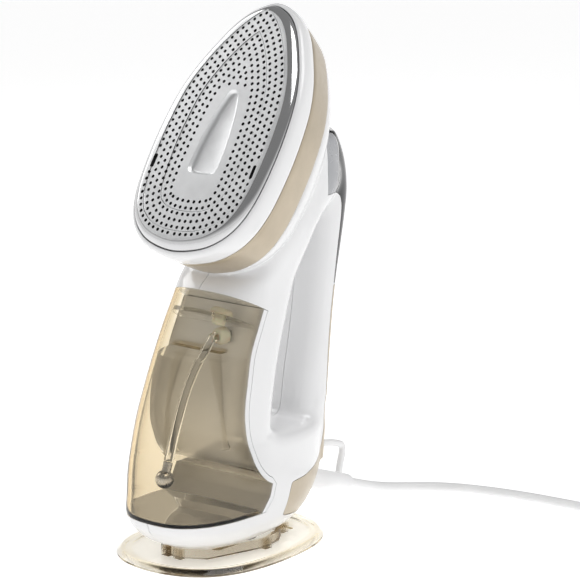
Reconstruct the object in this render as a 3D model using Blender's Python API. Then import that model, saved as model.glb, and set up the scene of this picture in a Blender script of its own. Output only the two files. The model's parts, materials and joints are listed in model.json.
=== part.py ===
"""Handheld garment steamer on its parking stand, as an assembly of separate pieces.

Metres, +Z up. The origin is the centre of the stand's underside. The steam head faces -Y and
leans back, the grip and the mains lead are on the +Y side, and X = 0 is the plane of symmetry.
"""
import math

import bmesh
import bpy
import numpy as np
from mathutils import Matrix, Vector

MM = 0.001

# Driving dimensions, in millimetres unless a name says otherwise.
GAP = 0.35                      # clearance between touching mouldings
WALL = 2.2                      # wall of the housing mouldings
PLAN_POINTS = 24                # points round a horizontal section of the body

STAND_HALF_LENGTH = 60.7
STAND_HALF_WIDTH = 43.6
STAND_FLARE = 3.2               # how far the foot of the rim stands out
STAND_RIM_Z = 4.2
STAND_FLOOR_Z = 2.0
DOCK_SIZE = (40.0, 62.0)        # locating frame under the steamer, X by Y
DOCK_TOP_Z = 7.6
BOSS_SIZE = (22.0, 34.0)        # boss that enters the pocket in the base cover
BOSS_TOP_Z = 12.0
FOOT_Z = 8.0                    # underside of the steamer when it is parked

HEAD_LEAN = math.radians(33.07)  # how far the soleplate leans back from upright
HEAD_CENTRE = (0.0, -0.9, 239.0)
RING_DEPTH = 16.0               # depth behind the soleplate face where the ring meets the band
BAND_DEPTH = 36.0               # depth where the band meets the body
HOLE_RADIUS = 0.9

TANK_WALL = 2.4
TANK_BACK = 3.2                 # thickness of the tank's opaque rear wall

GRIP_HALF_WIDTH = 19.0
CORD_RADIUS = 3.0
BOOT_EXIT = (0.0, 76.0, 22.0)
BOOT_END = (0.0, 109.0, 12.6)

COLOURS = {
    "white": ((0.86, 0.86, 0.87, 1.0), 0.22, 0.0),
    "champagne": ((0.62, 0.53, 0.41, 1.0), 0.32, 0.75),
    "black": ((0.012, 0.012, 0.014, 1.0), 0.08, 0.0),
    "pod_grey": ((0.55, 0.55, 0.57, 1.0), 0.25, 0.0),
    "satin_metal": ((0.66, 0.67, 0.69, 1.0), 0.34, 1.0),
    "cast_alloy": ((0.52, 0.53, 0.54, 1.0), 0.55, 1.0),
    "steel": ((0.6, 0.6, 0.62, 1.0), 0.3, 1.0),
    "amber_clear": ((0.78, 0.68, 0.5, 0.35), 0.05, 0.0),
    "clear": ((0.9, 0.88, 0.84, 0.4), 0.1, 0.0),
    "silicone": ((0.75, 0.74, 0.7, 1.0), 0.5, 0.0),
    "cord_grey": ((0.72, 0.72, 0.73, 1.0), 0.5, 0.0),
    "dark_plastic": ((0.06, 0.06, 0.065, 1.0), 0.5, 0.0),
    "board": ((0.05, 0.2, 0.1, 1.0), 0.5, 0.0),
    "brass": ((0.75, 0.6, 0.3, 1.0), 0.3, 1.0),
    "lens": ((0.7, 0.85, 1.0, 1.0), 0.2, 0.0),
}


# --------------------------------------------------------------------------- helpers
def material(slot):
    """The Principled material of that slot, made once."""
    found = bpy.data.materials.get(slot)
    if found:
        return found
    colour, roughness, metallic = COLOURS[slot]
    made = bpy.data.materials.new(slot)
    made.use_nodes = True
    shader = made.node_tree.nodes["Principled BSDF"]
    shader.inputs["Base Color"].default_value = colour
    shader.inputs["Roughness"].default_value = roughness
    shader.inputs["Metallic"].default_value = metallic
    return made


def new_object(name, bm, slot, smooth=True):
    """Turn a bmesh in millimetres into a named object in metres."""
    bmesh.ops.recalc_face_normals(bm, faces=bm.faces)
    mesh = bpy.data.meshes.new(name)
    bm.to_mesh(mesh)
    bm.free()
    mesh.transform(Matrix.Scale(MM, 4))
    obj = bpy.data.objects.new(name, mesh)
    bpy.context.scene.collection.objects.link(obj)
    if slot:
        mesh.materials.append(material(slot))
    if smooth:
        mesh.shade_smooth()
        mesh.set_sharp_from_angle(angle=math.radians(35))
    return obj


def loft(sections):
    """A closed solid through closed sections with the same number of points."""
    bm = bmesh.new()
    rings = [[bm.verts.new(p) for p in section] for section in sections]
    count = len(sections[0])
    for low, high in zip(rings, rings[1:]):
        for k in range(count):
            after = (k + 1) % count
            bm.faces.new((low[k], low[after], high[after], high[k]))
    bm.faces.new(list(reversed(rings[0])))
    bm.faces.new(rings[-1])
    return bm


def prism(points_yz, half_width):
    """A closed outline in the YZ plane, extruded along X on both sides."""
    return loft([[(x, y, z) for y, z in points_yz] for x in (-half_width, half_width)])


def box(low, high):
    """A rectangular block between two corners."""
    (x0, y0, z0), (x1, y1, z1) = low, high
    return loft([[(x0, y0, z), (x1, y0, z), (x1, y1, z), (x0, y1, z)] for z in (z0, z1)])


def rounded_box(low, high, radius, steps=3):
    """A block whose upright edges are rounded."""
    (x0, y0, z0), (x1, y1, z1) = low, high
    corners = ((x1 - radius, y1 - radius, 0), (x0 + radius, y1 - radius, 1),
               (x0 + radius, y0 + radius, 2), (x1 - radius, y0 + radius, 3))
    outline = []
    for cx, cy, quarter in corners:
        for k in range(steps + 1):
            angle = math.pi / 2 * (quarter + k / steps)
            outline.append((cx + radius * math.cos(angle), cy + radius * math.sin(angle)))
    return loft([[(x, y, z) for x, y in outline] for z in (z0, z1)])


def turned(profile, start, direction, sides=16):
    """A solid of revolution: profile is (distance along the axis, radius) pairs."""
    axis = Vector(direction).normalized()
    side = axis.orthogonal().normalized()
    other = axis.cross(side)
    origin = Vector(start)
    sections = []
    for along, radius in profile:
        ring = []
        for k in range(sides):
            angle = 2 * math.pi * k / sides
            ring.append(origin + axis * along
                        + (side * math.cos(angle) + other * math.sin(angle)) * radius)
        sections.append(ring)
    return loft(sections)


def ring_solid(profile, centre, sides):
    """A turned ring about the Z axis through centre: profile is a closed (radius, z) outline."""
    bm = bmesh.new()
    rings = []
    for k in range(sides):
        angle = 2 * math.pi * k / sides
        rings.append([bm.verts.new((centre[0] + r * math.cos(angle),
                                    centre[1] + r * math.sin(angle), z)) for r, z in profile])
    for k in range(sides):
        here, there = rings[k], rings[(k + 1) % sides]
        for j in range(len(profile)):
            after = (j + 1) % len(profile)
            bm.faces.new((here[j], there[j], there[after], here[after]))
    return bm


def tube_along(path, radius, sides=8):
    """A closed round tube along points in space."""
    points = [Vector(p) for p in path]
    sections = []
    side = None
    for k, point in enumerate(points):
        ahead = points[min(k + 1, len(points) - 1)] - points[max(k - 1, 0)]
        ahead.normalize()
        if side is None:
            side = ahead.orthogonal().normalized()
        side = (side - ahead * side.dot(ahead)).normalized()
        other = ahead.cross(side)
        sections.append([point + (side * math.cos(2 * math.pi * j / sides)
                                  + other * math.sin(2 * math.pi * j / sides)) * radius
                         for j in range(sides)])
    return loft(sections)


def smooth_points(points, step):
    """Points about every step along a Catmull-Rom curve through the given points."""
    pts = [np.array(p, float) for p in points]
    pts = [2 * pts[0] - pts[1]] + pts + [2 * pts[-1] - pts[-2]]
    found = [pts[1]]
    for a, b, c, d in zip(pts, pts[1:], pts[2:], pts[3:]):
        pieces = max(1, int(round(np.linalg.norm(c - b) / step)))
        for k in range(1, pieces + 1):
            t = k / pieces
            found.append(0.5 * (2 * b + (c - a) * t + (2 * a - 5 * b + 4 * c - d) * t ** 2
                                + (3 * b - a - 3 * c + d) * t ** 3))
    return found


def boolean(target, others, operation, solver="MANIFOLD"):
    """Apply a Boolean with each of the other objects, which are used up.

    The exact solver loses the nested walls of the housing when they are halved, so the solver
    for closed meshes is used: every working solid here is closed.
    """
    for other in others:
        modifier = target.modifiers.new("bool", "BOOLEAN")
        modifier.operation = operation
        modifier.solver = solver
        modifier.object = other
        graph = bpy.context.evaluated_depsgraph_get()
        mesh = bpy.data.meshes.new_from_object(target.evaluated_get(graph))
        target.modifiers.clear()
        old = target.data
        target.data = mesh
        bpy.data.meshes.remove(old)
        bpy.data.objects.remove(other)
    return target


def finish_solid(obj, name, slot):
    """Name the piece and give it its finish."""
    obj.name = name
    obj.data.name = name
    obj.data.materials.clear()
    obj.data.materials.append(material(slot))
    obj.data.shade_smooth()
    obj.data.set_sharp_from_angle(angle=math.radians(35))
    return obj


def copy_of(obj):
    """A separate copy, to cut with or to cut again."""
    twin = obj.copy()
    twin.data = obj.data.copy()
    bpy.context.scene.collection.objects.link(twin)
    return twin


def scratch(bm):
    """A working solid with no finish of its own."""
    return new_object("scratch", bm, None, smooth=False)


# --------------------------------------------------------------------------- body envelope
# Horizontal sections of the tank, column and neck: height, front, widest, back, half width,
# squareness of the front half and of the back half.
BODY_SECTIONS = (
    (8.0, -41.0, -5.0, 40.0, 23.0, 2.3, 2.0),
    (12.0, -50.0, -6.0, 49.0, 29.5, 2.4, 2.0),
    (18.0, -57.0, -8.0, 57.5, 34.3, 2.5, 2.0),
    (25.5, -60.4, -9.0, 65.0, 36.4, 2.6, 2.0),
    (35.0, -60.6, -10.0, 71.5, 36.6, 2.5, 2.0),
    (50.0, -59.4, -12.0, 74.6, 36.0, 2.5, 2.0),
    (64.0, -56.8, -14.0, 74.8, 35.2, 2.4, 2.1),
    (68.0, -56.0, -14.5, 12.0, 35.0, 2.35, 3.6),
    (80.0, -53.0, -14.0, 13.0, 34.0, 2.3, 3.8),
    (95.0, -47.5, -11.5, 16.0, 33.0, 2.25, 4.0),
    (110.0, -41.0, -7.0, 20.0, 32.2, 2.25, 4.0),
    (125.0, -33.5, -2.0, 25.0, 31.6, 2.25, 4.0),
    (140.0, -24.6, 4.0, 30.0, 31.2, 2.25, 4.0),
    (152.0, -16.2, 8.5, 34.0, 31.4, 2.25, 4.0),
    (160.0, -6.4, 14.0, 37.5, 33.0, 2.3, 3.6),
    (172.0, 0.4, 22.0, 44.5, 35.5, 2.4, 3.0),
    (183.0, 7.4, 30.0, 54.0, 36.0, 2.4, 2.6),
    (192.0, 13.4, 36.0, 76.0, 34.5, 2.4, 2.2),
    (204.0, 21.0, 46.0, 86.0, 30.0, 2.4, 2.2),
    (216.0, 29.5, 52.0, 85.0, 25.0, 2.3, 2.2),
    (228.0, 40.0, 58.0, 80.0, 18.0, 2.2, 2.2),
)
# Side view of the grip, bottom to top: centre y, centre z, half thickness.
GRIP_SECTIONS = (
    (58.8, 40.0, 13.8),
    (60.4, 58.0, 13.9),
    (62.0, 76.0, 13.4),
    (64.1, 94.0, 12.5),
    (66.5, 112.0, 11.3),
    (68.9, 130.0, 10.7),
    (71.7, 148.0, 10.9),
    (75.1, 166.0, 11.7),
    (77.3, 182.0, 13.5),
    (77.6, 198.0, 16.4),
    (73.5, 214.0, 17.1),
    (67.4, 228.0, 14.4),
)
# Half outline of the head, from the tip to the heel: x and height along the soleplate.
HEAD_OUTLINE = (
    (0.0, 79.0), (14.0, 74.2), (25.0, 64.0), (34.5, 48.5), (42.0, 32.5), (46.8, 15.0),
    (49.0, -8.0), (48.6, -30.0), (46.4, -46.0), (41.4, -59.0), (33.0, -68.8), (20.0, -76.0),
    (0.0, -79.4),
)
# Rear boundary of the tank in side view, from under the neck down to the foot.
TANK_EDGE = (
    (0.0, 139.5), (-5.0, 129.0), (-11.0, 116.0), (-14.5, 102.0), (-17.0, 92.0), (-18.5, 82.0),
    (-18.0, 70.0), (-15.0, 61.0), (-11.5, 53.5), (-7.0, 47.5), (-2.5, 43.6), (1.5, 41.6),
    (-1.0, 35.0), (-8.0, 27.0),
)
TANK_TOP_SLOPE = -0.5026        # rise of the tank's top edge per millimetre towards the back
FAR = 95.0                      # reach of a cutter beyond the body


def plan_section(z, front, widest, back, half_width, square_front, square_back, inset):
    """One horizontal section of the body, made smaller all round by inset."""
    points = []
    for k in range(PLAN_POINTS):
        angle = 2 * math.pi * (k + 0.5) / PLAN_POINTS
        c, s = math.cos(angle), math.sin(angle)
        power = 2 / (square_back if s > 0 else square_front)
        reach = (back - widest if s > 0 else widest - front) - inset
        x = (half_width - inset) * math.copysign(abs(c) ** power, c)
        points.append((x, widest + reach * math.copysign(abs(s) ** power, s), z))
    return points


def body_front(inset):
    """Tank, column, base and neck as one solid."""
    rows = list(BODY_SECTIONS)
    sections = []
    for k, row in enumerate(rows):
        z = row[0]
        if k == 0:
            z += inset
        if k == len(rows) - 1:
            z -= inset
        if row[0] == 64.0:
            z -= inset
        if row[0] == 68.0:
            z -= inset * 0.8
        if row[0] == 183.0:
            z += inset * 0.6
        if row[0] == 192.0:
            z += inset
        sections.append(plan_section(z, *row[1:], inset))
    return loft(sections)


def grip_solid(inset):
    """The grip, a bent tube of oval section."""
    centres = [Vector((0, y, z)) for y, z, _ in GRIP_SECTIONS]
    sections = []
    for k, (_, _, half) in enumerate(GRIP_SECTIONS):
        ahead = centres[min(k + 1, len(centres) - 1)] - centres[max(k - 1, 0)]
        ahead.normalize()
        across = Vector((1, 0, 0))
        out = ahead.cross(across)
        middle = centres[k]
        if k == 0:
            middle = middle + ahead * inset
        if k == len(centres) - 1:
            middle = middle - ahead * inset
        ring = []
        for j in range(16):
            angle = 2 * math.pi * (j + 0.5) / 16
            c, s = math.cos(angle), math.sin(angle)
            x = math.copysign(abs(c) ** 0.85, c) * (GRIP_HALF_WIDTH - inset)
            u = math.copysign(abs(s) ** 0.85, s) * (half - inset)
            ring.append(middle + across * x + out * u)
        sections.append(ring)
    return loft(sections)


def head_point(x, v, depth):
    """A point of the head: x, height v along the soleplate, depth behind its face."""
    lean_c, lean_s = math.cos(HEAD_LEAN), math.sin(HEAD_LEAN)
    cx, cy, cz = HEAD_CENTRE
    return (cx + x, cy + v * lean_s + depth * lean_c, cz + v * lean_c - depth * lean_s)


HEAD_NORMAL = Vector((0.0, -math.cos(HEAD_LEAN), math.sin(HEAD_LEAN)))


def head_outline(inset, count=40):
    """The head's closed outline, counter-clockwise seen from the front, moved in by inset."""
    half = smooth_points(HEAD_OUTLINE, 4.0)
    closed = half + [np.array((-x, v)) for x, v in reversed(half[1:-1])]
    closed.append(closed[0])
    lengths = np.cumsum([0.0] + [np.linalg.norm(b - a) for a, b in zip(closed, closed[1:])])
    table = np.array(closed)
    at = np.linspace(0, lengths[-1], count, endpoint=False)
    points = np.stack([np.interp(at, lengths, table[:, k]) for k in (0, 1)], 1)
    tangent = np.roll(points, -1, 0) - np.roll(points, 1, 0)
    tangent /= np.linalg.norm(tangent, axis=1)[:, None]
    inward = np.stack([tangent[:, 1], -tangent[:, 0]], 1)
    return points + inward * inset


def head_layers(layers, count=40):
    """A solid of head outlines, given as (depth, inset) pairs."""
    return loft([[head_point(x, v, depth) for x, v in head_outline(inset, count)]
                 for depth, inset in layers])


def head_dome(inset):
    """The back of the head, which narrows into the grip."""
    mouth = BAND_DEPTH + GAP - (0.6 if inset else 0.0)
    rows = ((mouth, 1.0), (42.0, 0.96), (50.0, 0.84), (58.0, 0.68), (66.0, 0.5), (72.0, 0.3))
    sections = []
    for depth, scale in rows:
        base = head_outline(5.8 + inset, 24)
        end = depth == 72.0
        sections.append([head_point(x * scale, -4.0 + (v + 4.0) * scale, depth - inset * end)
                         for x, v in base])
    return loft(sections)


def tank_prism(top, rear, bottom, reach=80.0):
    """The space in front of the tank's rear edge, each edge moved out by its own amount."""
    edge = [np.array(p) for p in TANK_EDGE]
    moved = []
    for k, point in enumerate(edge):
        ahead = edge[min(k + 1, len(edge) - 1)] - edge[max(k - 1, 0)]
        ahead = ahead / np.linalg.norm(ahead)
        outward = np.array((-ahead[1], ahead[0]))
        amount = rear
        if k == 0:
            outward = np.array((1.0, TANK_TOP_SLOPE))
        if k == len(edge) - 1:
            outward = np.array((1.0, 0.0))
        moved.append(point + outward * amount)
    upper = (float(moved[0][0]), TANK_EDGE[0][1] + TANK_TOP_SLOPE * float(moved[0][0]) + top)
    lower = (float(moved[-1][0]), TANK_EDGE[-1][1] - bottom)
    if top <= 0.0:
        moved = moved[1:]
    if bottom <= 0.0:
        moved = moved[:-1]
    front_top = (-FAR, TANK_EDGE[0][1] - TANK_TOP_SLOPE * FAR + top)
    front_bottom = (-FAR, 24.9 - bottom)
    outline = [front_top, upper] + [tuple(p) for p in moved] + [lower, front_bottom]
    return prism(outline, reach)


def panel_outline(grow):
    """Black rear panel in side view."""
    return [(73.0 - grow, 142.0 - grow), (75.6 - grow, 160.0), (77.8 - grow, 173.0),
            (79.2 - grow, 183.0), (79.0 - grow, 189.0), (76.4 - grow, 193.0),
            (66.8 - grow, 196.0 - grow), (69.0 - grow, 203.6), (74.0 - grow, 209.6),
            (76.8 - grow, 214.6), (77.6 - grow, 219.0), (77.0 - grow, 223.4),
            (73.5 - grow, 229.0 + grow),
            (120.0, 229.0 + grow), (120.0, 142.0 - grow)]


def collar_outline(grow):
    """Grey collar between the neck and the rear panel, in side view."""
    return [(53.6 - grow, 196.0 - grow), (55.8 - grow, 204.3), (58.7 - grow, 211.6),
            (62.6 - grow, 220.0), (65.5 - grow, 226.0), (67.5 - grow, 232.0 + grow),
            (71.8 + grow, 232.0 + grow), (76.2 + grow, 223.4), (76.9 + grow, 219.0),
            (76.1 + grow, 214.6), (73.3 + grow, 209.6), (68.3 + grow, 203.6),
            (66.1 + grow, 196.0 - grow)]


def spine_outline(grow):
    """Champagne spine and the base panel that it widens into, in side view."""
    return [(72.8 - grow, 141.0 + grow), (70.2 - grow, 124.0), (68.4 - grow, 106.0),
            (67.6 - grow, 88.0), (66.5 - grow, 70.0), (63.8 - grow, 54.0 + 0.5 * grow),
            (60.0, 46.5 + grow), (50.0, 41.5 + grow), (36.0, 38.8 + grow), (22.5, 38.4 + grow),
            (19.0 - grow, 36.0), (12.0 - grow, 21.0 - grow), (30.0, 17.5 - grow),
            (46.0, 16.5 - grow), (120.0, 16.0 - grow), (120.0, 141.0 + grow)]


def make_housing():
    """Left and right shells, rear panel, collar and spine, all cut from one envelope."""
    outer = scratch(body_front(0.0))
    boolean(outer, [scratch(grip_solid(0.0)), scratch(head_dome(0.0))], "UNION")
    inner = scratch(body_front(WALL))
    boolean(inner, [scratch(grip_solid(WALL)), scratch(head_dome(WALL))], "UNION")
    skin = copy_of(outer)
    boolean(skin, [copy_of(inner)], "DIFFERENCE")
    panel = copy_of(skin)
    boolean(panel, [scratch(prism(panel_outline(-GAP), 60.0))], "INTERSECT")
    collar = copy_of(skin)
    boolean(collar, [scratch(prism(collar_outline(-GAP), 60.0))], "INTERSECT")
    spine = skin
    boolean(spine, [scratch(prism(spine_outline(-GAP), 60.0))], "INTERSECT")
    start, end = Vector(BOOT_EXIT), Vector(BOOT_END)
    boolean(spine, [scratch(turned(((-26.0, 6.0 + GAP), (9.0, 6.0 + GAP)), start, end - start,
                                   16))], "DIFFERENCE")

    room = inner
    boolean(room, [scratch(tank_prism(WALL + GAP, TANK_BACK + GAP + WALL, WALL + GAP))],
            "DIFFERENCE")
    shell = outer
    boolean(shell, [room, scratch(tank_prism(GAP, TANK_BACK + GAP, GAP)),
                    scratch(prism(panel_outline(0.0), 60.0)),
                    scratch(prism(collar_outline(0.0), 60.0)),
                    scratch(prism(spine_outline(0.0), 60.0))], "DIFFERENCE")
    right = copy_of(shell)
    boolean(right, [scratch(box((-FAR, -FAR, 0), (GAP / 2, 2 * FAR, 300)))], "DIFFERENCE")
    left = shell
    boolean(left, [scratch(box((-GAP / 2, -FAR, 0), (FAR, 2 * FAR, 300)))], "DIFFERENCE")
    return {"right": right, "left": left, "panel": panel, "collar": collar, "spine": spine}


# --------------------------------------------------------------------------- steam head
def outline_ring(profile, count=40):
    """A closed band round the head: profile is a closed list of (depth, inset) pairs."""
    bm = bmesh.new()
    rows = []
    for depth, inset in profile:
        rows.append([bm.verts.new(head_point(x, v, depth)) for x, v in head_outline(inset, count)])
    for j, row in enumerate(rows):
        below = rows[(j + 1) % len(rows)]
        for k in range(count):
            after = (k + 1) % count
            bm.faces.new((row[k], row[after], below[after], below[k]))
    return bm


def along_outline(inset, first, last, count):
    """Points of the head outline, moved in by inset, between two shares of its length."""
    ring = head_outline(inset, 240)
    picks = []
    for k in range(count):
        share = first + (last - first) * k / max(1, count - 1)
        picks.append(ring[int(round(share * 240)) % 240])
    return picks


def make_soleplate():
    """Dished plate with a bevelled rim, a ring of steam holes and two slots."""
    plate = scratch(head_layers(((2.8, 5.8), (9.0, 5.8), (9.0, 3.6), (4.2, 3.6), (0.8, 6.2),
                                 (0.0, 7.4))))
    normal = -HEAD_NORMAL
    cutters = []
    holes = 22
    for x, v in along_outline(20.0, 0.0, 1.0 - 1.0 / holes, holes):
        start = Vector(head_point(x, v, -1.0))
        cutters.append(scratch(turned(((0.0, HOLE_RADIUS), (6.0, HOLE_RADIUS)), start, normal, 6)))
    for x in (-37.0, 37.0):
        ring = []
        for depth in (-1.0, 6.0):
            ring.append([head_point(x + dx, -26.4 + dv, depth) for dx, dv in
                         ((-1.2, -4.0), (1.2, -4.0), (1.2, 4.0), (-1.2, 4.0))])
        cutters.append(scratch(loft(ring)))
    joined = cutters[0]
    boolean(joined, cutters[1:], "UNION")
    return boolean(plate, [joined], "DIFFERENCE")


def make_head():
    """Everything between the soleplate's face and the back of the champagne band."""
    finish_solid(make_soleplate(), "soleplate", "satin_metal")
    new_object("head_front_ring", outline_ring(
        ((4.0, 2.8), (4.8, 1.2), (7.0, 0.2), (11.0, 0.1), (RING_DEPTH - GAP / 2, 1.3),
         (RING_DEPTH - GAP / 2, 3.2), (4.4, 3.2))), "white")
    new_object("head_band", outline_ring(
        ((RING_DEPTH + GAP / 2, 1.4), (26.0, 3.0), (BAND_DEPTH, 5.4), (BAND_DEPTH, 7.8),
         (26.0, 5.4), (RING_DEPTH + GAP / 2, 3.8))), "champagne")
    new_object("head_gasket", outline_ring(((9.35, 3.6), (11.4, 3.6), (11.4, 7.0), (9.35, 7.0)),
                                           32), "silicone")
    new_object("heater_block", head_layers(((6.4, 25.0), (13.0, 25.0), (13.0, 10.0),
                                            (3.15, 10.0)), 32), "cast_alloy")
    new_object("steam_chamber_cover", head_layers(((13.35, 22.5), (15.4, 22.5)), 24),
               "cast_alloy")
    path = [head_point(x, v, 16.8) for x, v in along_outline(17.0, 0.5 + 0.045, 1.5 - 0.045, 30)]
    tail = Vector((0.0, 0.0, 0.0)) - HEAD_NORMAL
    path = [Vector(path[0]) + tail * 6.0] + path + [Vector(path[-1]) + tail * 6.0]
    new_object("heating_element", tube_along(path, 3.2, 8), "steel")
    new_object("thermostat", turned(((0, 8), (5, 8), (5.6, 5), (8, 5)),
                                    head_point(0.0, 8.0, 15.75), -HEAD_NORMAL, 16), "steel")
    fuse_from = Vector(head_point(-9.0, -14.0, 18.2))
    new_object("thermal_fuse", turned(((0, 1.0), (3, 1.0), (3.2, 2.2), (15, 2.2), (15.2, 1.0),
                                       (18, 1.0)), fuse_from, (1, 0, 0), 10), "brass")
    plate = scratch(head_layers(((26.6, 7.6), (28.6, 8.0)), 32))
    hole = scratch(turned(((0, 5.0), (8.0, 5.0)), head_point(0.0, -32.0, 24.0), -HEAD_NORMAL, 12))
    finish_solid(boolean(plate, [hole], "DIFFERENCE"), "heat_shield", "dark_plastic")


# --------------------------------------------------------------------------- water tank
HOSE_RADIUS = 2.6
PORT = (11.5, 124.0)            # x and z of the water port between tank and body
LID_SLOPE = Vector((0.0, 0.4491, 0.8935))


def make_tank():
    """Clear tank, its opaque rear wall, lid, filler stopper, outlet valve, hose and weight."""
    body = scratch(body_front(0.0))
    boolean(body, [scratch(tank_prism(0.0, 0.0, 0.0))], "INTERSECT")
    hollow = scratch(body_front(TANK_WALL))
    boolean(hollow, [scratch(tank_prism(12.0, 3.0, -TANK_WALL))], "INTERSECT")
    finish_solid(boolean(body, [hollow], "DIFFERENCE"), "tank_body", "amber_clear")

    back = scratch(body_front(0.0))
    boolean(back, [scratch(tank_prism(-0.01, TANK_BACK, -0.01))], "INTERSECT")
    boolean(back, [scratch(tank_prism(20.0, GAP, 20.0, 70.0))], "DIFFERENCE")
    port = scratch(turned(((0, 2.0), (20, 2.0)), (PORT[0], -20.0, PORT[1]), (0, 1, 0), 10))
    finish_solid(boolean(back, [port], "DIFFERENCE"), "tank_back", "white")

    lid = scratch(body_front(TANK_WALL + GAP))
    low, high = 128.6, 130.8
    slab = [(-FAR, high - TANK_TOP_SLOPE * (FAR - 5.2)), (-5.2, high), (-6.4, low),
            (-FAR, low - TANK_TOP_SLOPE * (FAR - 6.4))]
    boolean(lid, [scratch(prism(slab, 60.0))], "INTERSECT")
    seat = Vector((11.5, -13.6, high - TANK_TOP_SLOPE * (13.6 - 5.2)))
    hole = scratch(turned(((0, 4.3), (20, 4.3)), seat - LID_SLOPE * 10, LID_SLOPE, 12))
    finish_solid(boolean(lid, [hole], "DIFFERENCE"), "tank_lid", "clear")
    new_object("filler_stopper", turned(((-5.0, 3.2), (-4.0, 3.8), (GAP, 3.8), (GAP, 6.0),
                                         (1.8, 6.4), (3.4, 5.8), (4.2, 4.4)),
                                        seat, LID_SLOPE, 14), "silicone")
    valve = scratch(turned(((0, 3.4), (1.2, 4.4), (6.4, 4.8)), (PORT[0], -17.0, PORT[1]),
                           (0, 1, 0), 12))
    bore = scratch(turned(((0, 1.6), (9, 1.6)), (PORT[0], -18.0, PORT[1]), (0, 1, 0), 8))
    finish_solid(boolean(valve, [bore], "DIFFERENCE"), "tank_outlet", "silicone")
    route = ((PORT[0], -17.0 - GAP, PORT[1]), (PORT[0], -20.6, 123.8), (9.4, -24.0, 117.0),
             (3.6, -26.8, 104.0), (0.6, -31.0, 90.0), (0.0, -37.5, 72.0), (0.0, -42.6, 57.0))
    new_object("pickup_hose", tube_along(smooth_points(route, 6.0), HOSE_RADIUS, 8), "clear")
    down = Vector(route[-1]) - Vector(route[-2])
    down.normalize()
    start = Vector(route[-1]) + down * GAP
    new_object("pickup_weight", turned(((0, 2.4), (5.0, 2.4), (5.4, 3.0), (7.0, 5.0), (9.8, 5.8),
                                        (12.6, 5.0), (14.4, 2.8)), start, down, 14), "steel")


# --------------------------------------------------------------------------- stand
def stand_outline(grow, count=44):
    """Oval of the stand, blunter at the front, moved out by grow."""
    points = []
    for k in range(count):
        turn = 2 * math.pi * k / count
        c, s = math.cos(turn), math.sin(turn)
        width = STAND_HALF_WIDTH + 5.4 - 3.8 * c + 5.4 * math.cos(2 * turn)
        x = width * s
        y = STAND_HALF_LENGTH * c
        length = math.hypot(x / STAND_HALF_WIDTH, y / STAND_HALF_LENGTH)
        points.append((x * (1 + grow / STAND_HALF_WIDTH / length),
                       y * (1 + grow / STAND_HALF_LENGTH / length)))
    return points


def make_stand():
    """Oval tray with a stepped rim, the dock that carries the steamer and its posts."""
    layers = ((0.0, STAND_FLARE), (1.2, STAND_FLARE), (STAND_RIM_Z, 0.0), (STAND_RIM_Z, -1.6),
              (3.0, -2.2), (3.0, -5.0), (STAND_FLOOR_Z, -6.0))
    tray = scratch(loft([[(x, y, z) for x, y in stand_outline(grow)] for z, grow in layers]))
    half_x, half_y = DOCK_SIZE[0] / 2, DOCK_SIZE[1] / 2
    frame = scratch(rounded_box((-half_x, -half_y, 1.0), (half_x, half_y, DOCK_TOP_Z), 6.0))
    inside = scratch(rounded_box((-half_x + 2.4, -half_y + 2.4, STAND_FLOOR_Z),
                                 (half_x - 2.4, half_y - 2.4, 20.0), 4.0))
    boolean(frame, [inside], "DIFFERENCE")
    boss_x, boss_y = BOSS_SIZE[0] / 2, BOSS_SIZE[1] / 2
    boss = scratch(rounded_box((-boss_x, -boss_y, 1.1), (boss_x, boss_y, BOSS_TOP_Z), 3.0))
    posts = []
    for x, y in ((-17.0, -33.0), (17.0, -33.0), (-20.0, 8.0), (20.0, 8.0), (-14.0, 33.5),
                 (14.0, 33.5)):
        posts.append(scratch(rounded_box((x - 3.0, y - 3.0, 1.2), (x + 3.0, y + 3.0, 7.1), 1.0,
                                         1)))
    pocket = scratch(rounded_box((-15.0, 40.0, 1.3), (15.0, 43.0, 6.4), 1.0, 1))
    boolean(tray, [frame, boss, pocket] + posts, "UNION")
    finish_solid(tray, "stand", "amber_clear")


def make_base_cover(shells):
    """Cover under the foot, with the pocket that drops over the stand's boss."""
    for shell in shells:
        cutter = scratch(rounded_box((-17.0, -23.0, 2.0), (17.0, 23.0, 12.0), 4.0))
        boolean(shell, [cutter], "DIFFERENCE")
    cover = scratch(rounded_box((-17.0 + GAP, -23.0 + GAP, FOOT_Z + 0.2),
                                (17.0 - GAP, 23.0 - GAP, 16.0), 4.0 - GAP))
    pocket = scratch(rounded_box((-12.0, -18.0, 2.0), (12.0, 18.0, 13.4), 3.4))
    finish_solid(boolean(cover, [pocket], "DIFFERENCE"), "base_cover", "white")


# --------------------------------------------------------------------------- controls
STEAM_BUTTON_Z = 184.0
POWER_BUTTON_Z = 162.0
LENS_Z = 203.0


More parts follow.
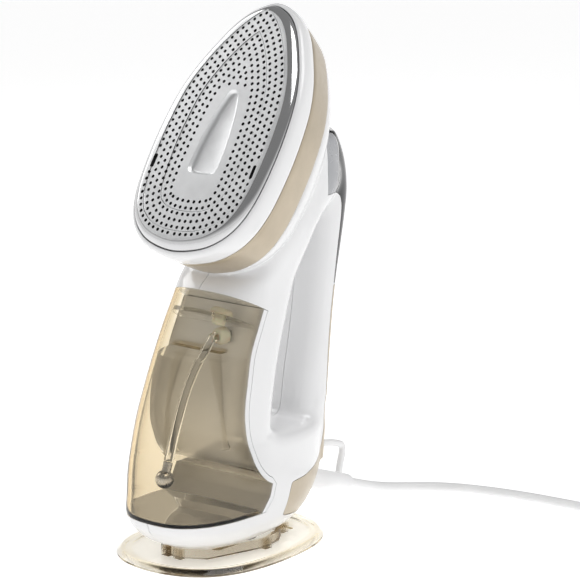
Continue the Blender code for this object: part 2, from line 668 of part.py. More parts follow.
def make_controls(panel):
    """Buttons and lens in the rear panel, with their switches on the circuit board."""
    openings = [scratch(rounded_box((-7.0, 70.0, -11.0), (7.0, 130.0, 11.0), 0.5, 1)),
                scratch(turned(((0, 5.6), (60, 5.6)), (0, 70, POWER_BUTTON_Z), (0, 1, 0), 16)),
                scratch(turned(((0, 2.2), (60, 2.2)), (0, 70, LENS_Z), (0, 1, 0), 10))]
    openings[0].data.transform(Matrix.Translation((0, 0, STEAM_BUTTON_Z * MM)))
    boolean(panel, openings, "DIFFERENCE")
    gap = GAP
    steam = rounded_box((-7.0 + gap, 80.4, STEAM_BUTTON_Z - 11 + gap),
                        (7.0 - gap, 93.2, STEAM_BUTTON_Z + 11 - gap), 1.6, 2)
    new_object("steam_button", steam, "pod_grey")
    new_object("power_button", turned(((0, 3.0), (5.0, 3.0), (5.0, 5.6 - gap), (10.4, 5.6 - gap),
                                       (11.6, 4.2)), (0, 76.6, POWER_BUTTON_Z), (0, 1, 0), 16),
               "pod_grey")
    new_object("indicator_lens", turned(((0, 2.2 - gap), (9.5, 2.2 - gap)),
                                        (0, 84.4, LENS_Z), (0, 1, 0), 10), "lens")
    board_top, board_low = Vector((0, 74.4, 205.0)), Vector((0, 69.2, 152.0))
    along = (board_top - board_low).normalized()
    out = Vector((1, 0, 0)).cross(along) * -1.0
    sections = []
    for point in (board_low, board_top):
        sections.append([point + Vector((x, 0, 0)) + out * u for x, u in
                         ((-12, -0.8), (12, -0.8), (12, 0.8), (-12, 0.8))])
    new_object("circuit_board", loft(sections), "board")
    for name, z, reach in (("steam_switch", STEAM_BUTTON_Z, 77.7),
                           ("power_switch", POWER_BUTTON_Z, 74.0)):
        foot = board_low + along * ((z - board_low.z) / along.z)
        low_y = foot.y + 0.8 + GAP + 0.6
        new_object(name, rounded_box((-3.2, low_y, z - 3.2), (3.2, reach, z + 3.2), 0.6, 1),
                   "dark_plastic")


def make_internals():
    """Pump, hoses and tank coupling inside the column and the neck."""
    new_object("pump", turned(((0, 3.0), (4, 3.0), (4.2, 8.6), (24, 8.6), (24.2, 6.0), (30, 6.0),
                               (30.2, 2.6), (34, 2.6)), (0.0, -0.6, 76.0), (0.0, 0.16, 1.0), 16),
               "brass")
    new_object("tank_coupling", turned(((0, 4.6), (4.0, 4.6), (4.2, 2.6), (9.0, 2.6)),
                                       (PORT[0], 5.2, PORT[1]), (0, 1, 0), 12), "dark_plastic")
    inlet = ((PORT[0], 14.6, PORT[1]), (PORT[0], 17.6, 123.8), (12.6, 18.4, 119.0),
             (13.4, 14.0, 112.0), (13.4, 7.0, 98.0), (12.6, 1.0, 84.0), (10.4, -1.0, 76.0),
             (6.2, -1.6, 71.2), (1.4, -1.2, 71.4), (0.0, -0.75, 75.3))
    new_object("inlet_hose", tube_along(smooth_points(inlet, 4.5), 1.9, 8), "silicone")
    outlet = [(0.0, 4.8, 110.2), (-0.4, 5.5, 113.6), (-5.0, 7.4, 118.6), (-10.0, 9.6, 125.0),
              (-11.0, 14.0, 138.0), (-8.0, 19.0, 156.0), (-3.0, 20.0, 176.0)]
    outlet += [head_point(0.0, -32.0, depth) for depth in (37.0, 27.0, 16.0)]
    new_object("steam_hose", tube_along(smooth_points(outlet, 5.5), 1.9, 8), "silicone")


# --------------------------------------------------------------------------- mains lead
CORD_ROUTE = (
    (0.0, 109.0, 12.6), (0.5, 118.0, 9.6), (3.0, 128.0, 6.6), (8.0, 139.0, 4.4),
    (16.0, 151.0, 3.4), (27.0, 161.0, 3.3), (40.0, 168.5, 3.3), (55.0, 174.0, 3.3),
    (72.0, 178.5, 3.3), (90.0, 181.6, 3.3), (108.0, 183.6, 3.3), (125.0, 185.0, 3.3),
    (150.0, 186.1, 3.3), (181.0, 186.5, 3.3),
)
COIL_CENTRE = (205.0, 144.0)
COIL_MIDDLE_RADIUS = 33.0
COIL_HALF_WIDTH = 12.9
COIL_HEIGHT = 19.4
PLUG_OFFSET = (25.0, -29.0)      # middle of the plug on the coil, from the coil's centre


def make_lead():
    """Boot with its hanging loop, then the lead, the coil, its tie and the plug."""
    start, end = Vector(BOOT_EXIT), Vector(BOOT_END)
    axis = (end - start).normalized()
    length = (end - start).length
    boot = scratch(turned(((-17.5, 6.0), (7.0, 5.9), (20.0, 5.4), (length - 3.0, 4.9),
                           (length - 0.9, 4.6), (length, 3.8)), start, axis, 16))
    bar = ((0.0, 79.0, 24.0), (0.0, 78.6, 33.0), (0.0, 79.6, 39.0), (0.0, 83.4, 41.4),
           (0.0, 92.0, 40.4), (0.0, 99.0, 38.6), (0.0, 102.8, 36.6), (0.0, 103.2, 32.0),
           (0.0, 101.0, 24.0), (0.0, 99.6, 16.0))
    boolean(boot, [scratch(tube_along(smooth_points(bar, 5.0), 2.3, 8))], "UNION")
    finish_solid(boot, "cord_strain_relief", "cord_grey")

    route = smooth_points(CORD_ROUTE, 7.0)
    route[0] = route[0] + np.array(axis) * GAP
    curve = bpy.data.curves.new("cord", "CURVE")
    curve.dimensions = "3D"
    curve.bevel_depth = CORD_RADIUS * MM
    curve.bevel_resolution = 2
    curve.use_fill_caps = True
    spline = curve.splines.new("POLY")
    spline.points.add(len(route) - 1)
    for point, (x, y, z) in zip(spline.points, route):
        point.co = (x * MM, y * MM, z * MM, 1.0)
    curve.materials.append(material("cord_grey"))
    cord = bpy.data.objects.new("cord", curve)
    bpy.context.scene.collection.objects.link(cord)

    r_in = COIL_MIDDLE_RADIUS - COIL_HALF_WIDTH
    r_out = COIL_MIDDLE_RADIUS + COIL_HALF_WIDTH
    top = COIL_HEIGHT
    new_object("cord_coil", ring_solid(((r_in, 0.3), (r_out, 0.3), (r_out, top - 3),
                                        (r_out - 3, top), (r_in + 3, top), (r_in, top - 3)),
                                       COIL_CENTRE, 28), "cord_grey")
    cx, cy = COIL_CENTRE
    wide, tall, strap = COIL_HALF_WIDTH + 0.5, top + 0.4, 1.2
    middle = cx - COIL_MIDDLE_RADIUS
    tie = scratch(box((middle - wide - strap, cy - 2.5, 0.1),
                      (middle + wide + strap, cy + 2.5, tall + strap)))
    hole = scratch(box((middle - wide, cy - 9, -3.0), (middle + wide, cy + 9, tall)))
    finish_solid(boolean(tie, [hole], "DIFFERENCE"), "cord_tie", "dark_plastic")

    plug_at = Vector((cx + PLUG_OFFSET[0], cy + PLUG_OFFSET[1], top + GAP + 8.6))
    body = scratch(rounded_box((-9.0, -17.0, -8.6), (9.0, 14.0, 8.6), 4.0))
    neck = scratch(turned(((0, 5.4), (16.0, 4.2)), (0, 13.0, 0), (0, 1, 0), 12))
    boolean(body, [neck], "UNION")
    body.data.transform(Matrix.Translation(plug_at * MM))
    finish_solid(body, "plug_body", "cord_grey")
    for name, x in (("plug_blade_left", -6.35), ("plug_blade_right", 6.35)):
        low = plug_at + Vector((x - 0.75, -17.0 - GAP - 17.0, -3.2))
        new_object(name, box(low, low + Vector((1.5, 17.0, 6.4))), "brass")


def make_screws():
    """Housing screws, set in from the left side."""
    places = ((40.0, 30.0), (-32.0, 16.4), (22.0, 140.0), (30.0, 176.0))
    for number, (y, z) in enumerate(places, 1):
        new_object("housing_screw_%d" % number,
                   turned(((0, 3.0), (2.0, 3.0), (2.2, 1.5), (12.0, 1.5)), (-18.0, y, z),
                          (1, 0, 0), 8), "steel")


# Where the moving pieces' joints are, in millimetres: the pieces hang from an empty there.
PIVOTS = {
    "tank_slide": ((0.0, -10.0, 76.0), ("tank_body", "tank_back", "tank_lid", "tank_outlet")),
    "stopper_slide": ((PORT[0], -13.6, 135.0), ("filler_stopper",)),
    "pickup_hinge": ((PORT[0], -17.35, PORT[1]), ("pickup_hose", "pickup_weight")),
    "steam_button_slide": ((0.0, 86.8, STEAM_BUTTON_Z), ("steam_button",)),
    "power_button_slide": ((0.0, 82.6, POWER_BUTTON_Z), ("power_button",)),
}


def hang_moving_pieces():
    """Parent each moving piece to an empty on its joint's axis, without moving it."""
    for name, (place, pieces) in PIVOTS.items():
        pivot = bpy.data.objects.new(name, None)
        pivot.location = Vector(place) * MM
        bpy.context.scene.collection.objects.link(pivot)
        for piece in pieces:
            obj = bpy.data.objects[piece]
            obj.parent = pivot
            obj.matrix_parent_inverse = Matrix.Translation(-pivot.location)


def main():
    for obj in list(bpy.data.objects):
        bpy.data.objects.remove(obj)
    parts = make_housing()
    make_base_cover((parts["right"], parts["left"]))
    make_controls(parts["panel"])
    finish_solid(parts["right"], "body_shell_right", "white")
    finish_solid(parts["left"], "body_shell_left", "white")
    finish_solid(parts["panel"], "rear_panel", "black")
    finish_solid(parts["collar"], "control_collar", "pod_grey")
    finish_solid(parts["spine"], "rear_spine", "champagne")
    make_head()
    make_tank()
    make_internals()
    make_stand()
    make_lead()
    make_screws()
    hang_moving_pieces()


main()
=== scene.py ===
"""Looks of the handheld garment steamer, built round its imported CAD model. Metres, +Z up."""

import json
import math

import bmesh
import bpy
import numpy as np
from mathutils import Matrix, Vector


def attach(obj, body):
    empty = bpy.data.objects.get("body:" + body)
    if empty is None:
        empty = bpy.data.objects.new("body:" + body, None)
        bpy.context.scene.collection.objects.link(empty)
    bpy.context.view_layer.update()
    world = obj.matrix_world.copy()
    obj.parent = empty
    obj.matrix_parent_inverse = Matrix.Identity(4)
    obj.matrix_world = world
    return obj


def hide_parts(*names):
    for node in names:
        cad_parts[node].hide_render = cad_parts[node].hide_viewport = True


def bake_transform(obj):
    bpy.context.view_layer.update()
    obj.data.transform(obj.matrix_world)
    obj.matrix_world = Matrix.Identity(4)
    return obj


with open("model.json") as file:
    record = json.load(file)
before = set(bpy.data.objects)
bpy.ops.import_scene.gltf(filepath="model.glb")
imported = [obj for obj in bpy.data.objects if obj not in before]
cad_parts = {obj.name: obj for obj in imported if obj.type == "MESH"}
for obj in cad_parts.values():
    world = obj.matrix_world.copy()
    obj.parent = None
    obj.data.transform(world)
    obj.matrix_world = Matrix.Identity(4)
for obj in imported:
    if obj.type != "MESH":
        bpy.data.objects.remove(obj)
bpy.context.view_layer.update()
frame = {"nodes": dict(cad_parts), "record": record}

MM = 0.001
GAP = 0.35  # clearance between pieces
WALL = 2.2  # thickness of the housing's wall
HEAD_LEAN = math.radians(33.07)
HEAD_CENTRE = (0.0, -0.9, 239.0)
FAR = 95.0  # past the object on every side
SIDE_REACH = 60.0  # half length of the cutters across the body
BACKWARDS = (0, 1, 0)


# ------------------------ mesh helpers
def crisp(obj, degrees=35.0):
    """Smooth shading, with the edges of more than that many degrees left sharp."""
    obj.data.shade_smooth()
    obj.data.set_sharp_from_angle(angle=math.radians(degrees))
    return obj


def new_object(name, bm, smooth=True):
    """Turn a bmesh in millimetres into an object in metres."""
    bmesh.ops.recalc_face_normals(bm, faces=bm.faces)
    mesh = bpy.data.meshes.new(name)
    bm.to_mesh(mesh)
    bm.free()
    mesh.transform(Matrix.Scale(MM, 4))
    obj = bpy.data.objects.new(name, mesh)
    bpy.context.scene.collection.objects.link(obj)
    return crisp(obj) if smooth else obj


def loft(sections, closed=False):
    """A closed solid through sections with the same number of points; closed makes a ring."""
    bm = bmesh.new()
    rings = [[bm.verts.new(p) for p in section] for section in sections]
    count = len(sections[0])
    pairs = list(zip(rings, rings[1:]))
    if closed:
        pairs.append((rings[-1], rings[0]))
    for low, high in pairs:
        for k in range(count):
            after = (k + 1) % count
            bm.faces.new((low[k], low[after], high[after], high[k]))
    if not closed:
        bm.faces.new(list(reversed(rings[0])))
        bm.faces.new(rings[-1])
    return bm


def prism(points_yz, half_width):
    return loft([[(x, y, z) for y, z in points_yz] for x in (-half_width, half_width)])


def box(low, high):
    (x0, y0, z0), (x1, y1, z1) = low, high
    return loft([[(x0, y0, z), (x1, y0, z), (x1, y1, z), (x0, y1, z)] for z in (z0, z1)])


def rounded_box(low, high, radius, edge=0.0, steps=6):
    """A block with rounded upright edges, and its top and bottom edges rounded by edge."""
    (x0, y0, z0), (x1, y1, z1) = low, high
    levels = [(z0, 0.0), (z1, 0.0)]
    if edge:
        levels = [(z0 + edge - edge * math.sin(t), edge - edge * math.cos(t))
                  for t in np.linspace(math.pi / 2, 0.0, 5)]
        levels += [(z1 - edge + edge * math.sin(t), edge - edge * math.cos(t))
                   for t in np.linspace(0.0, math.pi / 2, 5)]
    sections = []
    for z, inset in levels:
        r = max(radius - inset, 0.05)
        ring = []
        for quarter, (cx, cy) in enumerate(((x1 - radius, y1 - radius), (x0 + radius, y1 - radius),
                                            (x0 + radius, y0 + radius),
                                            (x1 - radius, y0 + radius))):
            for k in range(steps + 1):
                angle = math.pi / 2 * (quarter + k / steps)
                ring.append((cx + r * math.cos(angle), cy + r * math.sin(angle), z))
        sections.append(ring)
    return loft(sections)


def circle(centre, side, other, radius, sides):
    """Points round centre in the plane of side and other."""
    turns = [2 * math.pi * k / sides for k in range(sides)]
    return [centre + (side * math.cos(t) + other * math.sin(t)) * radius for t in turns]


def turned(profile, start, direction, sides=48):
    """A solid of revolution: profile is (distance along the axis, radius) pairs."""
    axis = Vector(direction).normalized()
    side = axis.orthogonal().normalized()
    other = axis.cross(side)
    origin = Vector(start)
    return loft([circle(origin + axis * along, side, other, radius, sides)
                 for along, radius in profile])


def rod(radius, low, high, start, direction, sides=48):
    """A round bar from low to high along direction, to join or to drill with."""
    return new_object("rod", turned(((low, radius), (high, radius)), start, direction, sides))


def tube_along(path, radius, sides=20):
    """A closed round tube along points; radius is a number or one per point."""
    points = [Vector(p) for p in path]
    radii = [radius] * len(points) if isinstance(radius, (int, float)) else list(radius)
    sections, side = [], None
    for k, point in enumerate(points):
        ahead = (points[min(k + 1, len(points) - 1)] - points[max(k - 1, 0)]).normalized()
        if side is None:
            side = ahead.orthogonal().normalized()
        side = (side - ahead * side.dot(ahead)).normalized()
        other = ahead.cross(side)
        sections.append(circle(point, side, other, radii[k], sides))
    return loft(sections)


def catmull_rom(a, b, c, d, t):
    return 0.5 * (2 * b + (c - a) * t + (2 * a - 5 * b + 4 * c - d) * t ** 2
                  + (3 * b - a - 3 * c + d) * t ** 3)


def smooth_points(points, step):
    """Points about every step along a Catmull-Rom curve through the given points."""
    pts = [np.array(p, float) for p in points]
    pts = [2 * pts[0] - pts[1]] + pts + [2 * pts[-1] - pts[-2]]
    found = [pts[1]]
    for a, b, c, d in zip(pts, pts[1:], pts[2:], pts[3:]):
        pieces = max(1, int(round(np.linalg.norm(c - b) / step)))
        found += [catmull_rom(a, b, c, d, k / pieces) for k in range(1, pieces + 1)]
    return found


def boolean(target, others, operation):
    """Apply Booleans with closed solids, which are used up."""
    for other in others:
        modifier = target.modifiers.new("bool", "BOOLEAN")
        modifier.operation = operation
        modifier.solver = "MANIFOLD"
        modifier.object = other
        apply_modifiers(target)
        bpy.data.objects.remove(other)
    return target


def join(target, *others):
    return boolean(target, others, "UNION")


def cut(target, *others):
    return boolean(target, others, "DIFFERENCE")


def keep(target, *others):
    """Keep only what lies inside all the others."""
    return boolean(target, others, "INTERSECT")


def apply_modifiers(obj):
    graph = bpy.context.evaluated_depsgraph_get()
    mesh = bpy.data.meshes.new_from_object(obj.evaluated_get(graph))
    obj.modifiers.clear()
    old, obj.data = obj.data, mesh
    bpy.data.meshes.remove(old)


def copy_of(obj):
    twin = obj.copy()
    twin.data = obj.data.copy()
    bpy.context.scene.collection.objects.link(twin)
    return twin


def soften(obj, voxel, rounds, factor=0.5):
    """Moulded edges: an even mesh of that voxel size in millimetres, then smoothing."""
    remesh = obj.modifiers.new("even", "REMESH")
    remesh.mode = "VOXEL"
    remesh.voxel_size = voxel * MM
    remesh.adaptivity = 0.0
    if rounds:
        relax = obj.modifiers.new("relax", "SMOOTH")
        relax.factor = factor
        relax.iterations = rounds
    apply_modifiers(obj)
    obj.data.shade_smooth()
    return obj


def coordinates(obj):
    co = np.empty(len(obj.data.vertices) * 3, np.float32)
    obj.data.vertices.foreach_get("co", co)
    return co.reshape(-1, 3) / MM


def set_coordinates(obj, co):
    obj.data.vertices.foreach_set("co", (co * MM).astype(np.float32).ravel())
    obj.data.update()


def hermite(x, y, at):
    """A smooth curve through (x, y), read at the given places."""
    x, y = np.asarray(x, float), np.asarray(y, float)
    h, d = np.diff(x), np.diff(y) / np.diff(x)
    m = np.empty_like(y)
    m[0], m[-1] = d[0], d[-1]
    m[1:-1] = (d[:-1] * h[1:] + d[1:] * h[:-1]) / (h[1:] + h[:-1])
    k = np.clip(np.searchsorted(x, at, side="right") - 1, 0, len(x) - 2)
    t = (at - x[k]) / h[k]
    return ((1 + 2 * t) * (1 - t) ** 2 * y[k] + t * (1 - t) ** 2 * h[k] * m[k]
            + t * t * (3 - 2 * t) * y[k + 1] + t * t * (t - 1) * h[k] * m[k + 1])


def smoothstep(x):
    x = np.clip(x, 0.0, 1.0)
    return x * x * (3 - 2 * x)


# ------------------------ camera and stage
def make_camera():
    data = bpy.data.cameras.new("camera")
    camera = bpy.data.objects.new("camera", data)
    bpy.context.scene.collection.objects.link(camera)
    bpy.context.scene.camera = camera
    data.lens, data.sensor_width = 133.6, 36.0
    data.clip_start, data.clip_end = 0.01, 50.0
    azimuth, dip = math.radians(41.64), math.radians(11.033)
    ahead = Vector((-math.sin(azimuth) * math.cos(dip), math.cos(azimuth) * math.cos(dip),
                    -math.sin(dip)))
    camera.location = (0.8046, -0.8486, 0.3740)
    camera.rotation_euler = ahead.to_track_quat("-Z", "Y").to_euler()


def area_light(name, place, target, size, power):
    data = bpy.data.lights.new(name, "AREA")
    data.shape = "RECTANGLE"
    data.size, data.size_y = size
    data.energy = power
    light = bpy.data.objects.new(name, data)
    bpy.context.scene.collection.objects.link(light)
    light.location = place
    light.rotation_euler = (Vector(target) - Vector(place)).to_track_quat("-Z", "Y").to_euler()


def add_node(tree, kind, **values):
    """A new shader node with its inputs set; an underscore stands for a space in a name."""
    node = tree.nodes.new("ShaderNode" + kind)
    for name, value in values.items():
        node.inputs[name.replace("_", " ")].default_value = value
    return node


def make_stage():
    """A sky brighter towards the horizon, a pale floor that glows a little and two lamps."""
    bpy.context.scene.view_settings.view_transform = "Standard"
    world = bpy.data.worlds.new("studio")
    bpy.context.scene.world = world
    world.use_nodes = True
    links = world.node_tree.links
    back = world.node_tree.nodes["Background"]
    where = add_node(world.node_tree, "TexCoord")
    towards = add_node(world.node_tree, "VectorMath")
    towards.operation = "DOT_PRODUCT"
    towards.inputs[1].default_value = (0.0, 0.0, 1.0)
    links.new(where.outputs["Generated"], towards.inputs[0])
    ramp = add_node(world.node_tree, "MapRange", From_Min=0.05, From_Max=0.5, To_Min=1.0,
                    To_Max=0.3)
    ramp.interpolation_type = "SMOOTHSTEP"
    links.new(towards.outputs["Value"], ramp.inputs["Value"])
    links.new(ramp.outputs["Result"], back.inputs["Strength"])
    back.inputs["Color"].default_value = (1.0, 1.0, 1.0, 1.0)

    floor = new_object("floor", box((-6e3, -6e3, -20.0), (6e3, 6e3, -0.05)), smooth=False)
    mat = bpy.data.materials.new("pale_floor")
    mat.use_nodes = True
    shader = mat.node_tree.nodes["Principled BSDF"]
    shader.inputs["Base Color"].default_value = (0.93, 0.93, 0.93, 1.0)
    shader.inputs["Roughness"].default_value = 0.8
    shader.inputs["Emission Color"].default_value = (1.0, 1.0, 1.0, 1.0)
    shader.inputs["Emission Strength"].default_value = 0.62
    floor.data.materials.append(mat)
    area_light("key", (-1.5, -0.1, 1.1), (0, 0, 0.15), (0.8, 0.8), 6.0)
    area_light("top", (0.6, 0.2, 1.6), (0, 0, 0.2), (0.9, 0.9), 11.0)


# ------------------------ materials
def finish(name, colour, rough, metallic=0.0, grain=(0.0, 0.0), cloud=(40.0, 0.03), **more):
    """A procedural material: colour with soft clouding, roughness that varies between two
    values, and a fine grain in the surface. grain is (size in mm, strength)."""
    mat = bpy.data.materials.new(name)
    mat.use_nodes = True
    tree, links = mat.node_tree, mat.node_tree.links
    shader = tree.nodes["Principled BSDF"]
    where = add_node(tree, "TexCoord")
    low, high = (rough, rough) if isinstance(rough, float) else rough
    cloudy = add_node(tree, "TexNoise", Scale=cloud[0], Detail=4.0)
    links.new(where.outputs["Object"], cloudy.inputs["Vector"])
    ramp = add_node(tree, "ValToRGB")
    darker = [c * (1 - cloud[1]) for c in colour[:3]]
    lighter = [min(1.0, c * (1 + cloud[1])) for c in colour[:3]]
    ramp.color_ramp.elements[0].position = 0.3
    ramp.color_ramp.elements[1].position = 0.7
    ramp.color_ramp.elements[0].color = (*darker, 1.0)
    ramp.color_ramp.elements[1].color = (*lighter, 1.0)
    links.new(cloudy.outputs["Fac"], ramp.inputs["Fac"])
    links.new(ramp.outputs["Color"], shader.inputs["Base Color"])
    if high > low:
        spread = add_node(tree, "TexNoise", Scale=cloud[0] * 6.0, Detail=6.0)
        links.new(where.outputs["Object"], spread.inputs["Vector"])
        reach = add_node(tree, "MapRange", From_Min=0.3, From_Max=0.7, To_Min=low, To_Max=high)
        links.new(spread.outputs["Fac"], reach.inputs["Value"])
        links.new(reach.outputs["Result"], shader.inputs["Roughness"])
    else:
        shader.inputs["Roughness"].default_value = low
    shader.inputs["Metallic"].default_value = metallic
    if grain[1]:
        fine = add_node(tree, "TexNoise", Scale=1.0 / (grain[0] * MM), Detail=3.0)
        links.new(where.outputs["Object"], fine.inputs["Vector"])
        bump = add_node(tree, "Bump", Strength=grain[1], Distance=0.1 * grain[0] * MM)
        links.new(fine.outputs["Fac"], bump.inputs["Height"])
        links.new(bump.outputs["Normal"], shader.inputs["Normal"])
    for socket, value in more.items():
        shader.inputs[socket.replace("_", " ")].default_value = value
    return mat


def tinted_clear(name, colour, density, rough=0.02, ior=1.2, coat=0.5):
    """Clear plastic or water that tints what is behind it the more, the thicker it is. An
    index below the real one keeps it as pale as the photo's, without dark smudges."""
    mat = finish(name, (1.0, 1.0, 1.0), (rough, rough + 0.02), cloud=(60.0, 0.0),
                 Transmission_Weight=1.0, IOR=ior, Coat_Weight=coat)
    tree, links = mat.node_tree, mat.node_tree.links
    base = tree.nodes["Principled BSDF"].inputs["Base Color"]
    links.remove(base.links[0])
    base.default_value = (1.0, 1.0, 1.0, 1.0)
    inside = add_node(tree, "VolumeAbsorption", Color=(*colour, 1.0), Density=density)
    links.new(inside.outputs["Volume"], tree.nodes["Material Output"].inputs["Volume"])
    return mat


PAINT = {
    "white": finish("white_gloss", (0.78, 0.78, 0.785), (0.16, 0.24), grain=(1.6, 0.05),
                    cloud=(14.0, 0.012), Coat_Weight=0.35, Coat_Roughness=0.08),
    "champagne": finish("champagne_paint", (0.47, 0.40, 0.30), (0.3, 0.4), 0.55,
                        grain=(0.35, 0.12), cloud=(60.0, 0.05), Coat_Weight=0.25,
                        Coat_Roughness=0.15),
    "black": finish("black_gloss", (0.01, 0.01, 0.012), (0.04, 0.09), grain=(3.0, 0.03),
                    cloud=(30.0, 0.2), Coat_Weight=0.5),
    "pod_grey": finish("grey_satin", (0.36, 0.365, 0.38), (0.22, 0.3), grain=(1.2, 0.05),
                       cloud=(25.0, 0.04)),
    "satin_metal": finish("blasted_aluminium", (0.78, 0.785, 0.79), (0.34, 0.42), 0.95,
                          grain=(0.5, 0.3), cloud=(90.0, 0.05)),
    "polished": finish("polished_bevel", (0.58, 0.58, 0.585), (0.08, 0.14), 1.0,
                       grain=(2.0, 0.03), cloud=(50.0, 0.04)),
    # Near black on the walls of the steam holes and slots: painted shade, for the dark inside the
    # holes, not the metal's own colour.
    "hole": finish("hole_walls_painted_shade", (0.03, 0.03, 0.032), (0.5, 0.7), 0.4, cloud=(300.0, 0.3)),
    # Cast alloy made near black, darker than the bare metal, so that the heater block seen through
    # the plate's slots shows as painted shade.
    "cast_alloy": finish("cast_alloy", (0.09, 0.09, 0.095), (0.5, 0.65), 0.9,
                         grain=(0.8, 0.5), cloud=(120.0, 0.12)),
    "steel": finish("drawn_steel", (0.5, 0.5, 0.52), (0.22, 0.34), 1.0, grain=(0.4, 0.15),
                    cloud=(80.0, 0.08)),
    "silicone": finish("silicone", (0.78, 0.74, 0.64), (0.42, 0.55), grain=(0.6, 0.15),
                       cloud=(70.0, 0.03), Subsurface_Weight=0.2),
    "cord_grey": finish("cord_jacket", (0.82, 0.82, 0.825), (0.42, 0.55), grain=(0.5, 0.25),
                        cloud=(50.0, 0.03)),
    "dark_plastic": finish("dark_plastic", (0.05, 0.05, 0.055), (0.4, 0.55),
                           grain=(0.5, 0.3), cloud=(90.0, 0.15)),
    "board": finish("circuit_board", (0.03, 0.14, 0.07), (0.3, 0.5), grain=(1.0, 0.3),
                    cloud=(400.0, 0.35)),
    "brass": finish("brass", (0.62, 0.46, 0.2), (0.24, 0.36), 1.0, grain=(0.4, 0.15),
                    cloud=(90.0, 0.08)),
    "lens": finish("frosted_lens", (0.75, 0.85, 0.95), (0.2, 0.3), cloud=(200.0, 0.04)),
    "amber_clear": tinted_clear("smoke_amber", (0.81, 0.69, 0.42), 170.0, ior=1.08),
    "stand_clear": tinted_clear("pale_amber", (0.84, 0.77, 0.6), 110.0, ior=1.07),
    "dock_amber": tinted_clear("deep_amber", (0.5, 0.36, 0.1), 190.0, ior=1.08),
    "clear": tinted_clear("clear_plastic", (0.86, 0.84, 0.78), 60.0, 0.08),
    "water": tinted_clear("water", (0.86, 0.78, 0.62), 9.0, 0.0, 1.08, 0.0),
}


# ------------------------ pieces and bodies
def piece(obj, body, slot, *nodes, paint=None):
    """Attach a finished piece to the body it rides on and hide the nodes it stands for. Its finish
    is its slot's own, unless it names another or already has some."""
    if not any(obj.data.materials):
        obj.data.materials.clear()
        obj.data.materials.append(PAINT[paint or slot])
    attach(obj, body)
    if nodes:
        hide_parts(*nodes)
    return obj


# ------------------------ mains lead
CORD_ROUTE = (
    (0.0, 103.2, 14.25), (0.0, 106.1, 13.43), (0.0, 109.0, 12.6), (0.5, 118.0, 9.6),
    (3.0, 128.0, 6.6), (8.0, 139.0, 4.4), (16.0, 151.0, 3.4), (27.0, 161.0, 3.3),
    (40.0, 168.5, 3.3), (55.0, 174.0, 3.3), (72.0, 178.5, 3.3), (90.0, 181.6, 3.3),
    (108.0, 183.6, 3.3), (125.0, 185.0, 3.3), (150.0, 186.2, 3.3), (180.0, 186.7, 3.3),
)
CORD_RADIUS = 3.0
COIL_CENTRE = (205.0, 144.0)
TURN_RADII = (42.7, 36.5, 30.3, 24.1, 24.1, 30.3, 36.5, 42.7, 36.5, 30.3, 25.0)
TURN_LEVELS = (3.3, 3.3, 3.3, 3.3, 9.5, 9.5, 9.5, 9.5, 15.7, 15.7, 16.4)
PLUG_OFFSET = (25.0, -29.0)
PLUG_Z = 19.4 + GAP + 8.6
BOOT_EXIT, BOOT_END = Vector((0.0, 76.0, 22.0)), Vector((0.0, 109.0, 12.6))


def cord_path():
    """From inside the boot, over the table, round the coil and up into the plug's neck."""
    points = smooth_points(CORD_ROUTE, 4.0)
    cx, cy = COIL_CENTRE
    turns, per_turn = len(TURN_RADII) - 1, 40
    for k in range(2, turns * per_turn + 11):
        turn, part = divmod(k / per_turn, 1.0)
        turn = int(turn)
        after = min(turn + 1, turns)
        move = float(smoothstep((part - 0.80) / 0.20)) if turn < turns else 0.0
        radius = TURN_RADII[turn] + (TURN_RADII[after] - TURN_RADII[turn]) * move
        level = TURN_LEVELS[turn] + (TURN_LEVELS[after] - TURN_LEVELS[turn]) * move
        left = turns + 0.25 - k / per_turn
        level += (PLUG_Z - level) * float(smoothstep(1.0 - left / 0.55))
        angle = math.pi / 2 - 2 * math.pi * k / per_turn
        points.append(np.array((cx + radius * math.cos(angle), cy + radius * math.sin(angle),
                                level)))
    end = np.array((cx + PLUG_OFFSET[0], cy + PLUG_OFFSET[1] + 29.0, PLUG_Z))
    points += [end + (0.0, -3.0, 0.0), end + (0.0, -7.0, 0.0)]
    return points


def make_boot():
    """Boot of the lead with its hanging loop, bored for the lead."""
    axis = (BOOT_END - BOOT_EXIT).normalized()
    reach = (BOOT_END - BOOT_EXIT).length
    at = np.linspace(4.0, reach - 3.0, 14)
    radii = hermite((0.0, 7.0, 20.0, reach - 3.0), (6.0, 5.9, 5.4, 4.9), at)
    profile = [(-17.5, 5.6), (-17.2, 5.95), (0.0, 6.0)]
    profile += [(float(a), float(r)) for a, r in zip(at, radii)]
    profile += [(reach - 1.2, 4.75), (reach - 0.5, 4.4), (reach, 3.8)]
    boot = new_object("cord_boot", turned(profile, BOOT_EXIT, axis, 56))
    bar = [(0.0, y, z) for y, z in ((79.0, 24.0), (78.6, 33.0), (79.6, 39.0), (83.4, 41.4),
                                    (92.0, 40.4), (99.0, 38.6), (102.8, 36.6), (103.2, 32.0),
                                    (101.0, 24.0), (99.6, 16.0))]
    join(boot, new_object("loop", tube_along(smooth_points(bar, 1.2), 2.2, 20)))
    soften(boot, 0.45, 5)
    cut(boot, rod(3.25, 0.0, 20.0, BOOT_END - axis * 8.0, axis, 40))
    return piece(crisp(boot, 50), "steamer", "cord_grey", "cord_strain_relief")


